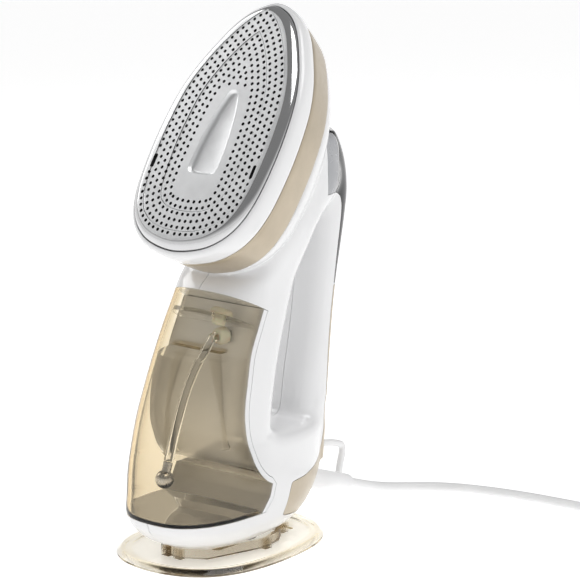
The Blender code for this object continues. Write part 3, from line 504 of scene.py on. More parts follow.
def make_plug():
    """Plug with a ribbed grip, a grooved neck and two flat blades, made at the origin."""
    at = Vector((COIL_CENTRE[0] + PLUG_OFFSET[0], COIL_CENTRE[1] + PLUG_OFFSET[1], PLUG_Z))
    place = Matrix.Translation(at * MM)
    plug = new_object("plug_moulding", rounded_box((-8.6, -16.8, -8.2), (8.6, 13.6, 8.2), 4.0,
                                                   2.4))
    join(plug, new_object("neck", turned(
        ((0, 5.2), (3.5, 5.2), (4.2, 4.6), (6.6, 4.6), (7.3, 5.0), (9.2, 5.0), (9.9, 4.4),
         (12.2, 4.4), (12.9, 4.7), (15.0, 4.5), (15.9, 4.0)), (0, 13.0, 0), BACKWARDS, 40)))
    for x in (-8.3, 8.3):
        for row in range(5):
            y = -6.0 + row * 3.4
            join(plug, new_object("rib", rounded_box((x - 0.8, y - 0.8, -4.6),
                                                     (x + 0.8, y + 0.8, 4.6), 0.7)))
    soften(plug, 0.5, 4)
    cut(plug, rod(3.2, 0.0, 9.0, (0.0, 21.0, 0.0), BACKWARDS, 40))
    plug.data.transform(place)
    piece(plug, "stand", "cord_grey", "plug_body")
    blades = []
    for name, x in (("plug_blade_left", -6.35), ("plug_blade_right", 6.35)):
        blade = new_object(name + "_pin", rounded_box((x - 0.74, -33.9, -3.1),
                                                      (x + 0.74, -17.3, 3.1), 0.4, 0.3, 3))
        cut(blade, rod(1.5, 0, 4, (x - 2, -30.4, 0.0), (1, 0, 0), 28))
        blade.data.transform(place)
        blades.append(piece(blade, "stand", "brass", name))
    return plug, blades


def make_tie():
    """Strap over the coil's left side, with rounded edges along its outside."""
    wide, tall = 12.9 + 0.45, 19.4 + 0.35
    bend = 2.0
    turn = ((-wide, 0.15), (-wide, tall - bend), (bend - wide, tall), (wide - bend, tall),
            (wide, tall - bend), (wide, 0.15))
    strap = smooth_points([(COIL_CENTRE[0] - 33.0 + x, COIL_CENTRE[1], z) for x, z in turn], 1.5)
    sections = []
    for k, point in enumerate(strap):
        ahead = strap[min(k + 1, len(strap) - 1)] - strap[max(k - 1, 0)]
        ahead = ahead / np.linalg.norm(ahead)
        out = np.array((-ahead[2], 0.0, ahead[0]))
        sections.append([point + np.array((0.0, y, 0.0)) + out * t
                         for y, t in ((-2.2, 0.1), (-2.2, 0.9), (-1.7, 1.2), (1.7, 1.2),
                                      (2.2, 0.9), (2.2, 0.1))])
    return piece(new_object("coil_tie", loft(sections)), "stand", "dark_plastic", "cord_tie")


def make_cord():
    path = cord_path()
    tube = new_object("mains_cord", tube_along(path, CORD_RADIUS, 14))
    tube.data.materials.append(PAINT["cord_grey"])
    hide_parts("cord", "cord_coil")
    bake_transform(tube)
    boot = make_boot()
    plug, blades = make_plug()
    [plug, make_tie(), boot] + blades


# ------------------------ steam head
HEAD_OUTLINE = (
    (0.0, 79.0), (14.0, 74.2), (25.0, 64.0), (34.5, 48.5), (42.0, 32.5), (46.8, 15.0),
    (49.0, -8.0), (48.6, -30.0), (46.4, -46.0), (41.4, -59.0), (33.0, -68.8), (20.0, -76.0),
    (0.0, -79.4),
)
# Outer row of steam holes and the recess in the middle of the plate, right halves.
ROW_LINE = (
    (0.0, 69.0), (3.8, 67.4), (10.0, 62.0), (15.4, 55.8), (20.2, 49.0), (24.4, 42.0),
    (28.1, 34.6), (31.3, 27.0), (33.5, 19.0), (34.9, 11.0), (36.2, -4.0), (36.9, -18.0),
    (36.9, -32.0), (36.3, -42.0), (34.2, -50.1), (30.2, -57.3), (23.8, -62.4), (16.3, -65.5),
    (8.2, -67.1), (0.0, -67.5),
)
RECESS_LINE = (
    (0.0, 21.2), (2.6, 20.4), (4.3, 18.0), (6.9, 9.0), (8.6, 0.0), (9.9, -10.0), (10.6, -19.0),
    (10.7, -26.0), (9.7, -29.4), (6.5, -30.9), (0.0, -31.1),
)
ROW_GAP = 3.97
HOLE_PITCH = 4.1
HOLE_RADIUS = 1.02
HOLE_SIDES = 20
SLOT_RADIUS = 1.25
DRILL_DEPTHS = (-1.0, 4.2)


def head_point(x, v, depth):
    """x, height v along the plate, depth behind the plate's face."""
    lean_c, lean_s = math.cos(HEAD_LEAN), math.sin(HEAD_LEAN)
    cx, cy, cz = HEAD_CENTRE
    return (cx + x, cy + v * lean_s + depth * lean_c, cz + v * lean_c - depth * lean_s)


HEAD_NORMAL = Vector((0.0, -math.cos(HEAD_LEAN), math.sin(HEAD_LEAN)))


def mirrored(half, step=0.8):
    """A closed smooth outline from its right half, tip first, evenly spaced."""
    half = [np.array(p, float) for p in half]
    ring = half + [np.array((-x, v)) for x, v in reversed(half[1:-1])]
    around = [ring[-1]] + ring + [ring[0], ring[1]]
    dense = []
    for a, b, c, d in zip(around, around[1:], around[2:], around[3:]):
        pieces = max(2, int(round(np.linalg.norm(c - b) / step)))
        dense += [catmull_rom(a, b, c, d, k / pieces) for k in range(pieces)]
    return np.array(dense)


def distances(points):
    """How far along the line each of its points is."""
    return np.concatenate([[0.0], np.cumsum(np.linalg.norm(np.diff(points, axis=0), axis=1))])


def evenly(ring, count):
    """The closed outline with count points at even distances."""
    closed = np.vstack([ring, ring[:1]])
    along = distances(closed)
    at = np.linspace(0.0, along[-1], count, endpoint=False)
    return np.stack([np.interp(at, along, closed[:, k]) for k in (0, 1)], 1)


def inward_of(tangent):
    """Unit vectors that point into an outline which runs clockwise along tangent."""
    tangent = tangent / np.linalg.norm(tangent, axis=1)[:, None]
    return np.stack([tangent[:, 1], -tangent[:, 0]], 1)


def moved_in(ring, inset):
    """The outline moved inwards; inset is a number or one per point."""
    inward = inward_of(np.roll(ring, -1, 0) - np.roll(ring, 1, 0))
    return ring + inward * np.reshape(inset, (-1, 1))


HEAD_RING = evenly(mirrored(HEAD_OUTLINE), 260)


def head_layers(layers, ring=None, closed=False):
    """A loft through the outline at (depth behind the plate's face, inset) pairs."""
    ring = HEAD_RING if ring is None else ring
    return loft([[head_point(x, v, depth) for x, v in moved_in(ring, inset)]
                 for depth, inset in layers], closed)


def hole_places():
    """Centres of the steam holes: six rows that follow the plate, and the crown's own rows."""
    half = np.array(smooth_points(ROW_LINE, 0.5))
    inward = inward_of(np.gradient(half, axis=0))
    places = []
    for row in range(6):
        line = half + inward * ROW_GAP * row
        line = line[line[:, 0] >= 0.0]
        if row:
            crown = line[0]
            line = np.vstack([(0.0, crown[1] + 0.25 * crown[0] - 0.4), line])
            bottom = line[-1]
            if bottom[0] > 0.05:
                line = np.vstack([line, (0.0, bottom[1])])
        along = distances(line)
        count = int(round(along[-1] / HOLE_PITCH))
        at = np.linspace(0.0, along[-1], count + 1)
        for x, v in zip(np.interp(at, along, line[:, 0]), np.interp(at, along, line[:, 1])):
            if row == 0 and -31.6 < v < -21.0:
                continue
            places.append((x, v))
            if x > 0.6:
                places.append((-x, v))
    for x, v in ((0.0, 34.8), (2.6, 31.7), (4.6, 28.2), (5.9, 24.2), (0.0, 29.0), (0.0, 25.0)):
        places += [(x, v)] if x == 0.0 else [(x, v), (-x, v)]
    return places


def in_recess(x, v):
    table = np.array(RECESS_LINE)
    if not -32.4 < v < 22.4:
        return False
    return abs(x) < np.interp(-v, -table[:, 1], table[:, 0]) + 1.2


def make_soleplate():
    plate = new_object("steam_plate", head_layers(
        ((2.8, 5.8), (9.0, 5.8), (9.0, 3.6), (4.3, 3.6), (3.6, 3.7), (2.9, 4.0), (2.2, 4.5),
         (1.55, 5.15), (1.0, 5.9), (0.55, 6.7), (0.22, 7.5), (0.05, 8.2), (0.0, 8.6))))
    row = evenly(mirrored(ROW_LINE), 220)
    lift = smoothstep((row[:, 1] + 62.0) / 60.0)
    for depth, high, low in ((0.35, 1.7, -1.9), (0.7, -ROW_GAP * 3 + 1.8, -ROW_GAP * 3 - 1.9)):
        ring = moved_in(row, -(low + (high - low) * lift))
        ring = ring[np.sign(ring[:, 0]) == np.sign(row[:, 0])] if high < 0 else ring
        ring = evenly(ring, 200)
        step = new_object("step", head_layers(((-1.0, -0.1), (depth - 0.3, 0.0), (depth, 0.3)),
                                              ring))
        low = depth + 0.45
        groove = new_object("groove", head_layers(((-1.0, -0.12), (low, -0.12), (low, 0.2),
                                                   (-1.0, 0.2)), ring, closed=True))
        cut(plate, step, groove)
    ring = evenly(mirrored(RECESS_LINE, 0.4), 120)
    cut(plate, new_object("recess", head_layers(
        ((-1.0, -0.9), (0.1, -0.7), (0.3, -0.35), (0.6, 0.0), (1.4, 0.5), (2.1, 1.0),
         (2.45, 1.5), (2.55, 2.2)), ring)))
    bm = bmesh.new()
    side = Vector((1.0, 0.0, 0.0))
    other = (-HEAD_NORMAL).cross(side)
    for x, v in hole_places():
        outer, inner = [[bm.verts.new(p) for p in circle(Vector(head_point(x, v, depth)), side,
                                                         other, HOLE_RADIUS, HOLE_SIDES)]
                        for depth in DRILL_DEPTHS]
        for k in range(HOLE_SIDES):
            after = (k + 1) % HOLE_SIDES
            bm.faces.new((outer[k], outer[after], inner[after], inner[k]))
        bm.faces.new(list(reversed(outer)))
        bm.faces.new(inner)
    cut(plate, new_object("holes", bm))
    for x in (-37.0, 37.0):
        slot = []
        for k in range(28):
            a = 2 * math.pi * k / 28
            slot.append((x + SLOT_RADIUS * math.cos(a), -26.4 + SLOT_RADIUS * math.sin(a)
                         + math.copysign(3.0, math.sin(a))))
        cut(plate, new_object("slot", loft([[head_point(px, v, depth) for px, v in slot]
                                            for depth in DRILL_DEPTHS])))
    mesh = plate.data
    mesh.materials.clear()
    for paint in ("satin_metal", "polished", "hole"):
        mesh.materials.append(PAINT[paint])
    for face in mesh.polygons:
        centre = Vector(face.center) / MM - Vector(HEAD_CENTRE)
        facing = abs(face.normal.dot(HEAD_NORMAL))
        v = centre.dot(Vector((0.0, math.sin(HEAD_LEAN), math.cos(HEAD_LEAN))))
        near = np.min(np.hypot(HEAD_RING[:, 0] - centre.x, HEAD_RING[:, 1] - v))
        face.material_index = 0
        # Steep walls of the holes and slots, away from the rim and the recess, get the third slot:
        # near-black painted shade inside the holes.
        if facing < 0.35 and near > 9.0 and not in_recess(centre.x, v):
            face.material_index = 2
        elif near < 7.9:
            face.material_index = 1
    mesh.shade_smooth()
    mesh.set_sharp_from_angle(angle=math.radians(30))
    piece(plate, "steamer", "satin_metal", "soleplate")


def make_head():
    make_soleplate()
    piece(new_object("head_bezel", head_layers(
        ((4.05, 3.2), (3.85, 2.9), (4.0, 2.3), (4.5, 1.5), (5.4, 0.8), (6.8, 0.3), (9.0, 0.1),
         (11.5, 0.15), (13.6, 0.55), (15.2, 1.1), (15.65, 1.45), (15.8, 1.9), (15.8, 3.2),
         (9.0, 3.25)), closed=True)), "steamer", "white", "head_front_ring")
    piece(new_object("head_trim", head_layers(
        ((16.2, 2.0), (16.3, 1.65), (16.8, 1.5), (20.0, 1.95), (25.0, 2.85), (30.0, 3.9),
         (34.6, 4.95), (35.5, 5.25), (35.95, 5.8), (35.95, 7.8), (26.0, 5.4),
         (16.2, 3.8)), closed=True)), "steamer", "champagne", "head_band")


# ------------------------ body
# height, front, widest, back, half width, squareness of the front half and of the back half
BODY_SECTIONS = (
    (8.0, -41.0, -5.0, 40.0, 23.0, 2.3, 2.0),
    (12.0, -50.0, -6.0, 49.0, 29.5, 2.4, 2.0),
    (18.0, -57.0, -8.0, 57.5, 34.3, 2.5, 2.0),
    (25.5, -60.4, -9.0, 65.0, 36.4, 2.6, 2.0),
    (35.0, -60.6, -10.0, 71.5, 36.6, 2.5, 2.0),
    (50.0, -59.4, -12.0, 74.6, 36.0, 2.5, 2.0),
    (64.0, -56.8, -14.0, 74.8, 35.2, 2.4, 2.1),
    (68.0, -56.0, -14.5, 12.0, 35.0, 2.35, 3.6),
    (80.0, -53.0, -14.0, 13.0, 34.0, 2.3, 3.8),
    (95.0, -47.5, -11.5, 16.0, 33.0, 2.25, 4.0),
    (110.0, -41.0, -7.0, 20.0, 32.2, 2.25, 4.0),
    (125.0, -33.5, -2.0, 25.0, 31.6, 2.25, 4.0),
    (140.0, -24.6, 4.0, 30.0, 31.2, 2.25, 4.0),
    (152.0, -16.2, 8.5, 34.0, 31.4, 2.25, 4.0),
    (160.0, -6.4, 14.0, 37.5, 33.0, 2.3, 3.6),
    (172.0, 0.4, 22.0, 44.5, 35.5, 2.4, 3.0),
    (183.0, 7.4, 30.0, 54.0, 36.0, 2.4, 2.6),
    (192.0, 13.4, 36.0, 76.0, 34.5, 2.4, 2.2),
    (204.0, 21.0, 46.0, 86.0, 30.0, 2.4, 2.2),
    (216.0, 29.5, 52.0, 85.0, 25.0, 2.3, 2.2),
    (228.0, 40.0, 58.0, 80.0, 18.0, 2.2, 2.2),
)
# Side view of the grip: centre y, centre z, half thickness.
GRIP_SECTIONS = (
    (58.8, 40.0, 13.8), (60.4, 58.0, 13.9), (62.0, 76.0, 13.4), (64.1, 94.0, 12.5),
    (66.5, 112.0, 11.3), (68.9, 130.0, 10.7), (71.7, 148.0, 10.9), (75.1, 166.0, 11.7),
    (77.3, 182.0, 13.5), (77.6, 198.0, 16.4), (73.5, 214.0, 17.1), (67.4, 228.0, 14.4),
)
TANK_EDGE = (
    (0.0, 139.5), (-5.0, 129.0), (-11.0, 116.0), (-14.5, 102.0), (-17.0, 92.0), (-18.5, 82.0),
    (-18.0, 70.0), (-15.0, 61.0), (-11.5, 53.5), (-7.0, 47.5), (-2.5, 43.6), (1.5, 41.6),
    (-1.0, 35.0), (-8.0, 27.0),
)
TANK_TOP_SLOPE = -0.5026
TANK_WALL = 2.4
TANK_FLOOR = 1.1
TANK_BACK = 3.2
PORT_X, PORT_Z = 11.5, 124.0  # where the draw hose leaves the tank
LID_SLOPE = Vector((0.0, 0.4491, 0.8935))
POWER_BUTTON_Z = 162.0
LENS_Z = 203.0
WATER_LEVEL = 113.0


def plan_section(z, front, widest, back, half_width, square_front, square_back, inset, count):
    points = []
    for k in range(count):
        angle = 2 * math.pi * (k + 0.5) / count
        c, s = math.cos(angle), math.sin(angle)
        power = 2 / (square_back if s > 0 else square_front)
        reach = (back - widest if s > 0 else widest - front) - inset
        x = (half_width - inset) * math.copysign(abs(c) ** power, c)
        points.append((x, widest + reach * math.copysign(abs(s) ** power, s), z))
    return points


def fine_body(inset=0.0, step=2.0, count=120):
    """Tank, column, base and neck, with rows all the way up."""
    table = np.array(BODY_SECTIONS)
    z = table[:, 0]
    low, high = np.arange(8.0, 64.01, step), np.arange(68.0, 228.01, step)
    step_up = np.array([65.0, 66.0, 67.0])
    at = np.concatenate([low, step_up, high])
    columns = [at]
    for k in range(1, 7):
        if k in (3, 6):
            share = (step_up - 64.0) / 4.0
            columns.append(np.concatenate([
                hermite(z[:7], table[:7, k], low),
                table[6, k] + (table[7, k] - table[6, k]) * share,
                hermite(z[7:], table[7:, k], high)]))
        else:
            columns.append(hermite(z, table[:, k], at))
    return new_object("body", loft([plan_section(*row, inset, count)
                                    for row in np.stack(columns, 1)]))


def coarse_body(inset):
    """The same envelope for the hollow inside."""
    shift = {8.0: 1.0, 228.0: -1.0, 64.0: -1.0, 68.0: -0.8, 183.0: 0.6, 192.0: 1.0}
    return new_object("room", loft([plan_section(row[0] + inset * shift.get(row[0], 0.0),
                                                 *row[1:], inset, 24) for row in BODY_SECTIONS]))


def grip_solid(inset, fine):
    rows = np.array(GRIP_SECTIONS)
    if fine:
        at = np.arange(40.0, 228.01, 3.0)
        rows = np.stack([hermite(rows[:, 1], rows[:, 0], at), at,
                         hermite(rows[:, 1], rows[:, 2], at)], 1)
    centres = [Vector((0, y, z)) for y, z, _ in rows]
    count = 72 if fine else 16
    sections = []
    for k, (_, _, half) in enumerate(rows):
        ahead = (centres[min(k + 1, len(rows) - 1)] - centres[max(k - 1, 0)]).normalized()
        across = Vector((1, 0, 0))
        out = ahead.cross(across)
        middle = centres[k] + ahead * inset * ((k == 0) - (k == len(rows) - 1))
        ring = []
        for j in range(count):
            angle = 2 * math.pi * (j + 0.5) / count
            c, s = math.cos(angle), math.sin(angle)
            ring.append(middle + across * math.copysign(abs(c) ** 0.85, c) * (19.0 - inset)
                        + out * math.copysign(abs(s) ** 0.85, s) * (half - inset))
        sections.append(ring)
    return new_object("grip", loft(sections))


def head_dome(inset, fine):
    """Back of the head, narrowing towards the neck."""
    rows = np.array(((36.35 if fine else 35.75, 1.0), (42.0, 0.96), (50.0, 0.84),
                     (58.0, 0.68), (66.0, 0.5), (72.0, 0.3)))
    if fine:
        at = np.linspace(36.35, 72.0, 22)
        rows = np.stack([at, hermite(rows[:, 0], rows[:, 1], at)], 1)
    base = moved_in(evenly(HEAD_RING, 160 if fine else 24), 5.8 + inset)
    return new_object("dome", loft([[head_point(x * scale, -4.0 + (v + 4.0) * scale,
                                                depth - inset * (depth >= 72.0))
                                     for x, v in base] for depth, scale in rows]))


def relax_near(obj, weight_of, rounds):
    """Smooth the mesh only where weight_of says so: the fillets of the moulding."""
    mesh = obj.data
    co = coordinates(obj).astype(float)
    ends = np.empty(len(mesh.edges) * 2, np.int32)
    mesh.edges.foreach_get("vertices", ends)
    a, b = ends.reshape(-1, 2).T
    weight = weight_of(co)
    held = (weight[a] > 0) | (weight[b] > 0)
    a, b = a[held], b[held]
    count = np.maximum(np.bincount(a, minlength=len(co)) + np.bincount(b, minlength=len(co)), 1)
    pull = (0.65 * weight / count)[:, None]
    for _ in range(rounds):
        total = np.stack([np.bincount(a, co[b, k], len(co)) + np.bincount(b, co[a, k], len(co))
                          for k in range(3)], 1)
        co += total * pull - co * (pull * count[:, None])
    set_coordinates(obj, co)


def tank_prism(top, rear, bottom, reach=80.0):
    """The space in front of the tank's rear edge, each edge moved out by its own amount."""
    edge = smooth_points(TANK_EDGE[:12], 1.5)[:-1] + [np.array(p) for p in TANK_EDGE[11:]]
    moved = []
    for k, point in enumerate(edge):
        ahead = edge[min(k + 1, len(edge) - 1)] - edge[max(k - 1, 0)]
        ahead = ahead / np.linalg.norm(ahead)
        outward = np.array((-ahead[1], ahead[0]))
        if k == 0:
            outward = np.array((1.0, TANK_TOP_SLOPE))
        if k == len(edge) - 1:
            outward = np.array((1.0, 0.0))
        moved.append(point + outward * rear)
    upper = (float(moved[0][0]), 139.5 + TANK_TOP_SLOPE * float(moved[0][0]) + top)
    lower = (float(moved[-1][0]), 27.0 - bottom)
    if top <= 0.0:
        moved = moved[1:]
    if bottom <= 0.0:
        moved = moved[:-1]
    outline = [(-FAR, 139.5 - TANK_TOP_SLOPE * FAR + top), upper]
    outline += [tuple(p) for p in moved] + [lower, (-FAR, 24.9 - bottom)]
    return new_object("cut", prism(outline, reach))


def side_prism(curves, ends=()):
    """A cutter across the body, whose side view runs along smooth curves and then the ends."""
    points = [tuple(p) for curve in curves for p in smooth_points(curve, 1.5)]
    return new_object("cut", prism(points + list(ends), SIDE_REACH))


def shifted(points, dy, first_dz, last_dz):
    """The points moved by dy, with the first and the last also moved up or down."""
    moved = [(y + dy, z) for y, z in points]
    moved[0] = (moved[0][0], moved[0][1] + first_dz)
    moved[-1] = (moved[-1][0], moved[-1][1] + last_dz)
    return moved


def panel_prism(grow):
    lower = shifted(((73.0, 142.0), (75.6, 160.0), (77.8, 173.0), (79.2, 183.0), (79.0, 189.0),
                     (76.4, 193.2), (66.8, 196.0)), -grow, -grow, -grow)
    upper = shifted(((67.0, 196.4), (69.0, 203.6), (74.0, 209.6), (76.8, 214.6), (77.6, 219.0),
                     (77.0, 223.4), (73.5, 229.0)), -grow, -grow, grow)
    return side_prism((lower, upper), ((120.0, 229.0 + grow), (120.0, 142.0 - grow)))


def collar_prism(grow):
    front = shifted(((53.6, 196.0), (55.8, 204.3), (58.7, 211.6), (62.6, 220.0), (65.5, 226.0),
                     (67.5, 232.0)), -grow, -grow, grow)
    back = shifted(((71.8, 232.0), (76.2, 223.4), (76.9, 219.0), (76.1, 214.6), (73.3, 209.6),
                    (68.3, 203.6), (66.1, 196.0)), grow, grow, -grow)
    return side_prism((front, back))


def spine_prism(grow):
    upper = [(72.8 - grow, 141.0 + grow), (70.2 - grow, 124.0), (68.4 - grow, 106.0),
             (67.6 - grow, 88.0), (66.5 - grow, 70.0), (63.8 - grow, 54.0 + 0.5 * grow),
             (60.0, 46.5 + grow), (50.0, 41.5 + grow), (36.0, 38.8 + grow)]
    corner = [(22.5, 38.4 + grow), (19.8 - grow, 37.4), (18.2 - grow, 34.4)]
    low = [(12.6 - grow, 22.4 - grow), (12.6 - grow, 20.8 - grow), (14.4, 20.0 - grow),
           (30.0, 17.5 - grow), (46.0, 16.5 - grow)]
    return side_prism((upper + corner + low,), ((120.0, 16.0 - grow), (120.0, 141.0 + grow)))


def housing_fillets(co):
    y, z = co[:, 1], co[:, 2]
    floor = smoothstep((10.0 - abs(z - 67.5)) / 7.0) * smoothstep((y - 1.0) / 9.0)
    under_neck = smoothstep((19.0 - np.hypot(y - 60.0, z - 189.0)) / 9.0)
    shoulder = 0.35 * smoothstep((z - 186.0) / 16.0)
    return np.maximum(np.maximum(floor, under_neck), shoulder)


def make_housing():
    outer = fine_body()
    join(outer, grip_solid(0.0, True), head_dome(0.0, True))
    soften(outer, 0.9, 5)
    relax_near(outer, housing_fillets, 110)
    inner = coarse_body(WALL)
    join(inner, grip_solid(WALL, False), head_dome(WALL, False))
    skin = copy_of(outer)
    cut(skin, copy_of(inner))
    panel = keep(copy_of(skin), panel_prism(-GAP))
    collar = keep(copy_of(skin), collar_prism(-GAP))
    keep(skin, spine_prism(-GAP))
    cut(skin, rod(6.3, -26.0, 9.0, BOOT_EXIT, BOOT_END - BOOT_EXIT))
    cut(inner, tank_prism(WALL + GAP, TANK_BACK + GAP + WALL, WALL + GAP))
    pocket = new_object("pocket", rounded_box((-17.0, -23.0, 2.0), (17.0, 23.0, 12.0), 4.0))
    cut(outer, inner, tank_prism(GAP, TANK_BACK + GAP, GAP), panel_prism(0.0),
        collar_prism(0.0), spine_prism(0.0), pocket)
    right = cut(copy_of(outer), new_object("cut", box((-FAR, -FAR, 0), (GAP / 2, 2 * FAR, 300))))
    left = cut(outer, new_object("cut", box((-GAP / 2, -FAR, 0), (FAR, 2 * FAR, 300))))
    slot = new_object("slot", rounded_box((-7.0, 70.0, 173.0), (7.0, 130.0, 195.0), 0.5))
    cut(panel, slot, rod(5.6, 0, 60, (0, 70, POWER_BUTTON_Z), BACKWARDS),
        rod(2.2, 0, 60, (0, 70, LENS_Z), BACKWARDS))
    for obj, name, slot_name, node in (
            (left, "shell_left", "white", "body_shell_left"),
            (skin, "spine", "champagne", "rear_spine"),
            (right, "shell_right", "white", "body_shell_right"),
            (panel, "panel", "black", "rear_panel"),
            (collar, "collar", "pod_grey", "control_collar")):
        obj.name = "housing_" + name
        piece(crisp(obj, 40), "steamer", slot_name, node)


def make_controls():
    body = rounded_box((-6.65, 80.4, 173.35), (6.65, 93.2, 194.65), 1.6)
    piece(new_object("steam_key", body), "steam_button", "pod_grey", "steam_button")
    piece(new_object("power_key", turned(
        ((0, 3.0), (4.7, 3.0), (5.0, 3.3), (5.0, 4.9), (5.3, 5.25), (10.2, 5.25), (10.8, 5.1),
         (11.3, 4.6), (11.55, 3.9), (11.5, 3.0), (11.2, 1.6), (11.05, 0.4)),
        (0, 76.6, POWER_BUTTON_Z), BACKWARDS)), "power_button", "pod_grey", "power_button")


def tank_ribs():
    """Ribs of the clear moulding: a shelf across the rear and two upright curved ribs."""
    shelf = new_object("rib", rounded_box((-25.0, -17.0, 114.6), (14.0, 2.0, 116.4), 1.0))
    for x, low, high, lean in ((-16.0, 52.0, 112.0, -7.0), (9.0, 62.0, 112.0, 9.0)):
        curve = [(x + lean * math.sin(math.pi * 0.5 * (1.0 - t)), low + (high - low) * t)
                 for t in np.linspace(0.0, 1.0, 24)]
        outline = [(cx - 0.45, z) for cx, z in curve] + [(cx + 0.45, z) for cx, z in curve[::-1]]
        rib = new_object("rib", loft([[(cx, y, z) for cx, z in outline]
                                      for y in (-20.5, 2.0)]))
        join(shelf, rib)
    return shelf


def make_water():
    room = 0.12
    water = keep(fine_body(TANK_WALL + room), tank_prism(0.0, -room, -TANK_FLOOR - room),
                 new_object("cut", box((-FAR, -FAR, 0.0), (FAR, FAR, WATER_LEVEL))))
    water.name = "tank_water"
    piece(crisp(water), "tank", "clear", paint="water")


def make_tank():
    shell = keep(fine_body(), tank_prism(0.0, 0.0, 0.0))
    ribs = keep(fine_body(TANK_WALL - 0.6), tank_prism(0.0, 0.2, 0.0), tank_ribs())
    cut(shell, keep(fine_body(TANK_WALL), tank_prism(12.0, 3.0, -TANK_FLOOR)))
    join(shell, ribs)
    shell.name = "tank_shell"
    piece(crisp(shell), "tank", "amber_clear", "tank_body")
    back = keep(fine_body(), tank_prism(-0.01, TANK_BACK, -0.01))
    cut(back, tank_prism(20.0, GAP, 20.0, 70.0),
        rod(2.0, 0, 20, (PORT_X, -20.0, PORT_Z), BACKWARDS, 24))
    back.name = "tank_rear"
    piece(crisp(back), "tank", "white", "tank_back")
    low, high = 128.6, 130.8
    slab = [(-FAR, high - TANK_TOP_SLOPE * (FAR - 5.2)), (-5.2, high), (-6.4, low),
            (-FAR, low - TANK_TOP_SLOPE * (FAR - 6.4))]
    lid = keep(fine_body(TANK_WALL + GAP), new_object("cut", prism(slab, SIDE_REACH)))
    seat = Vector((11.5, -13.6, high - TANK_TOP_SLOPE * (13.6 - 5.2)))
    cut(lid, rod(4.3, 0, 20, seat - LID_SLOPE * 10, LID_SLOPE))
    lid.name = "tank_top"
    piece(crisp(lid), "tank", "clear", "tank_lid")
    piece(new_object("filler_cap", turned(
        ((-5.0, 3.0), (-4.9, 3.3), (-4.0, 3.8), (GAP, 3.8), (GAP, 5.8), (0.7, 6.3), (1.8, 6.4),
         (2.8, 6.15), (3.5, 5.6), (4.0, 4.7), (4.2, 3.6), (4.2, 0.4)), seat, LID_SLOPE)),
        "stopper", "silicone", "filler_stopper")
    valve = new_object("outlet_boss", turned(
        ((0, 3.4), (0.3, 3.8), (1.2, 4.4), (2.0, 4.7), (6.4, 4.8)), (PORT_X, -17.0, PORT_Z),
        BACKWARDS))
    cut(valve, rod(1.6, 0, 9, (PORT_X, -18.0, PORT_Z), BACKWARDS, 24))
    piece(crisp(valve), "tank", "silicone", "tank_outlet")
    route = ((PORT_X, -17.0 - GAP, PORT_Z), (PORT_X, -20.6, 123.8), (9.4, -24.0, 117.0),
             (3.6, -26.8, 104.0), (0.6, -31.0, 90.0), (0.0, -37.5, 72.0), (0.0, -42.6, 57.0))
    path = smooth_points(route, 2.0)
    hose = new_object("draw_hose", tube_along(path, 2.6, 24))
    longer = [2 * path[0] - path[1]] + path + [2 * path[-1] - path[-2]]
    cut(hose, new_object("bore", tube_along(longer, 1.5, 16)))
    piece(hose, "pickup", "clear", "pickup_hose")
    down = (Vector(route[-1]) - Vector(route[-2])).normalized()
    ball = [(9.6 + 5.0 * math.cos(a), 5.0 * math.sin(a))
            for a in np.linspace(math.pi * 0.83, math.pi * 0.04, 18)]
    piece(new_object("draw_weight", turned(
        [(0, 2.2), (0.3, 2.5), (5.0, 2.5)] + ball, Vector(route[-1]) + down * GAP, down)),
        "pickup", "steel", "pickup_weight")


STAND_HALF_LENGTH = 60.7
STAND_HALF_WIDTH = 43.6


def stand_outline(grow, count=180):
    """Oval of the stand, blunter at the front, moved out by grow."""
    points = []
    for k in range(count):
        turn = 2 * math.pi * k / count
        c, s = math.cos(turn), math.sin(turn)
        x = (STAND_HALF_WIDTH + 5.4 - 3.8 * c + 5.4 * math.cos(2 * turn)) * s
        y = STAND_HALF_LENGTH * c
        length = math.hypot(x / STAND_HALF_WIDTH, y / STAND_HALF_LENGTH)
        points.append((x * (1 + grow / STAND_HALF_WIDTH / length),
                       y * (1 + grow / STAND_HALF_LENGTH / length)))
    return points


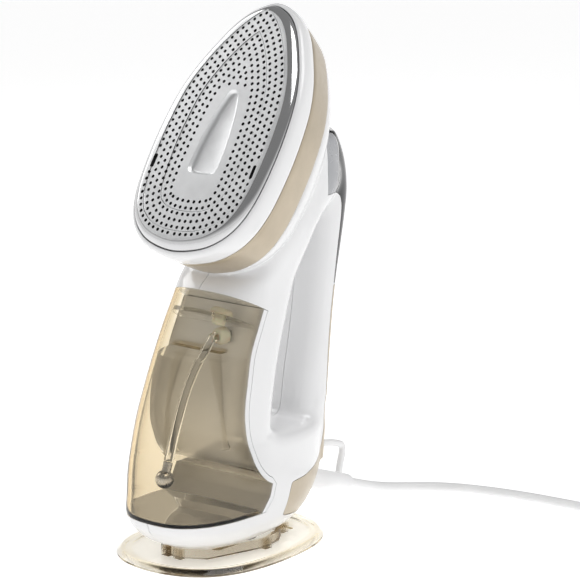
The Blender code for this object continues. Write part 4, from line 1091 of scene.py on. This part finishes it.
def make_stand():
    layers = ((0.0, 2.6), (0.25, 3.05), (0.7, 3.2), (1.3, 3.1), (2.1, 2.2), (3.3, 1.0),
              (3.9, 0.4), (4.15, -0.1), (4.2, -0.6), (4.1, -1.2), (3.6, -1.7), (3.1, -2.0),
              (2.9, -2.6), (2.95, -3.4), (3.15, -3.9), (3.1, -4.6), (2.6, -5.2), (2.15, -5.7),
              (2.0, -6.4))
    tray = new_object("stand_tray", loft([[(x, y, z) for x, y in stand_outline(grow)]
                                          for z, grow in layers]))
    adds = [new_object("boss", rounded_box((-11.0, -17.0, 1.1), (11.0, 17.0, 12.0), 3.0, 0.8))]
    adds.append(new_object("clip", rounded_box((-15.0, 40.0, 1.3), (15.0, 43.0, 6.4), 1.0, 0.3)))
    join(tray, *adds)
    crisp(tray)
    for face in tray.data.polygons:
        if abs(face.normal.z) > 0.999:
            face.use_smooth = False
    piece(tray, "stand", "amber_clear", "stand", paint="stand_clear")
    right = ((4.5, -40.4), (17.8, -32.3), (27.3, 4.0), (24.0, 20.0), (14.0, 34.0))
    plan = list(right) + [(-x, y) for x, y in reversed(right)]
    dock = new_object("stand_dock", loft([[(x, y, z) for x, y in plan] for z in (2.1, 7.6)]),
                      smooth=False)
    cut(dock, new_object("inside", loft([[(x * 0.9, y * 0.94, z) for x, y in plan]
                                         for z in (-1.0, 20.0)])))
    for x, y in ((-4.6, -40.0), (4.6, -40.0), (-27.0, 5.0), (27.0, 5.0), (-14.0, 33.5),
                 (14.0, 33.5)):
        posts = [new_object("post", rounded_box((x - 2.8, y - 2.6, 2.1), (x + 2.8, y + 2.6, 7.6),
                                                0.8))]
        for step in (-2.0, 0.0, 2.0):
            for dx, dy in ((step, 2.6), (step, -2.6), (2.8, step), (-2.8, step)):
                posts.append(rod(0.38, 0, 5.2, (x + dx, y + dy, 2.2), (0, 0, 1), 8))
        join(dock, *posts)
    piece(crisp(dock), "stand", "amber_clear", "stand", paint="dock_amber")


def make_base_cover():
    cover = new_object("foot_cover", rounded_box((-16.65, -22.65, 8.2), (16.65, 22.65, 16.0),
                                                 3.65))
    cut(cover, new_object("pocket", rounded_box((-12.0, -18.0, 2.0), (12.0, 18.0, 13.4), 3.4)))
    piece(crisp(cover), "steamer", "white", "base_cover")


# ------------------------ the scene
make_camera()
make_stage()
make_housing()
make_base_cover()
make_controls()
make_head()
make_tank()
make_water()
make_stand()
make_cord()
SLOTS = {entry["node"]: entry["material_slot"] for entry in frame["record"]["subparts"]}
for node, obj in frame["nodes"].items():
    obj.data.materials.clear()
    obj.data.materials.append(PAINT[SLOTS[node]])
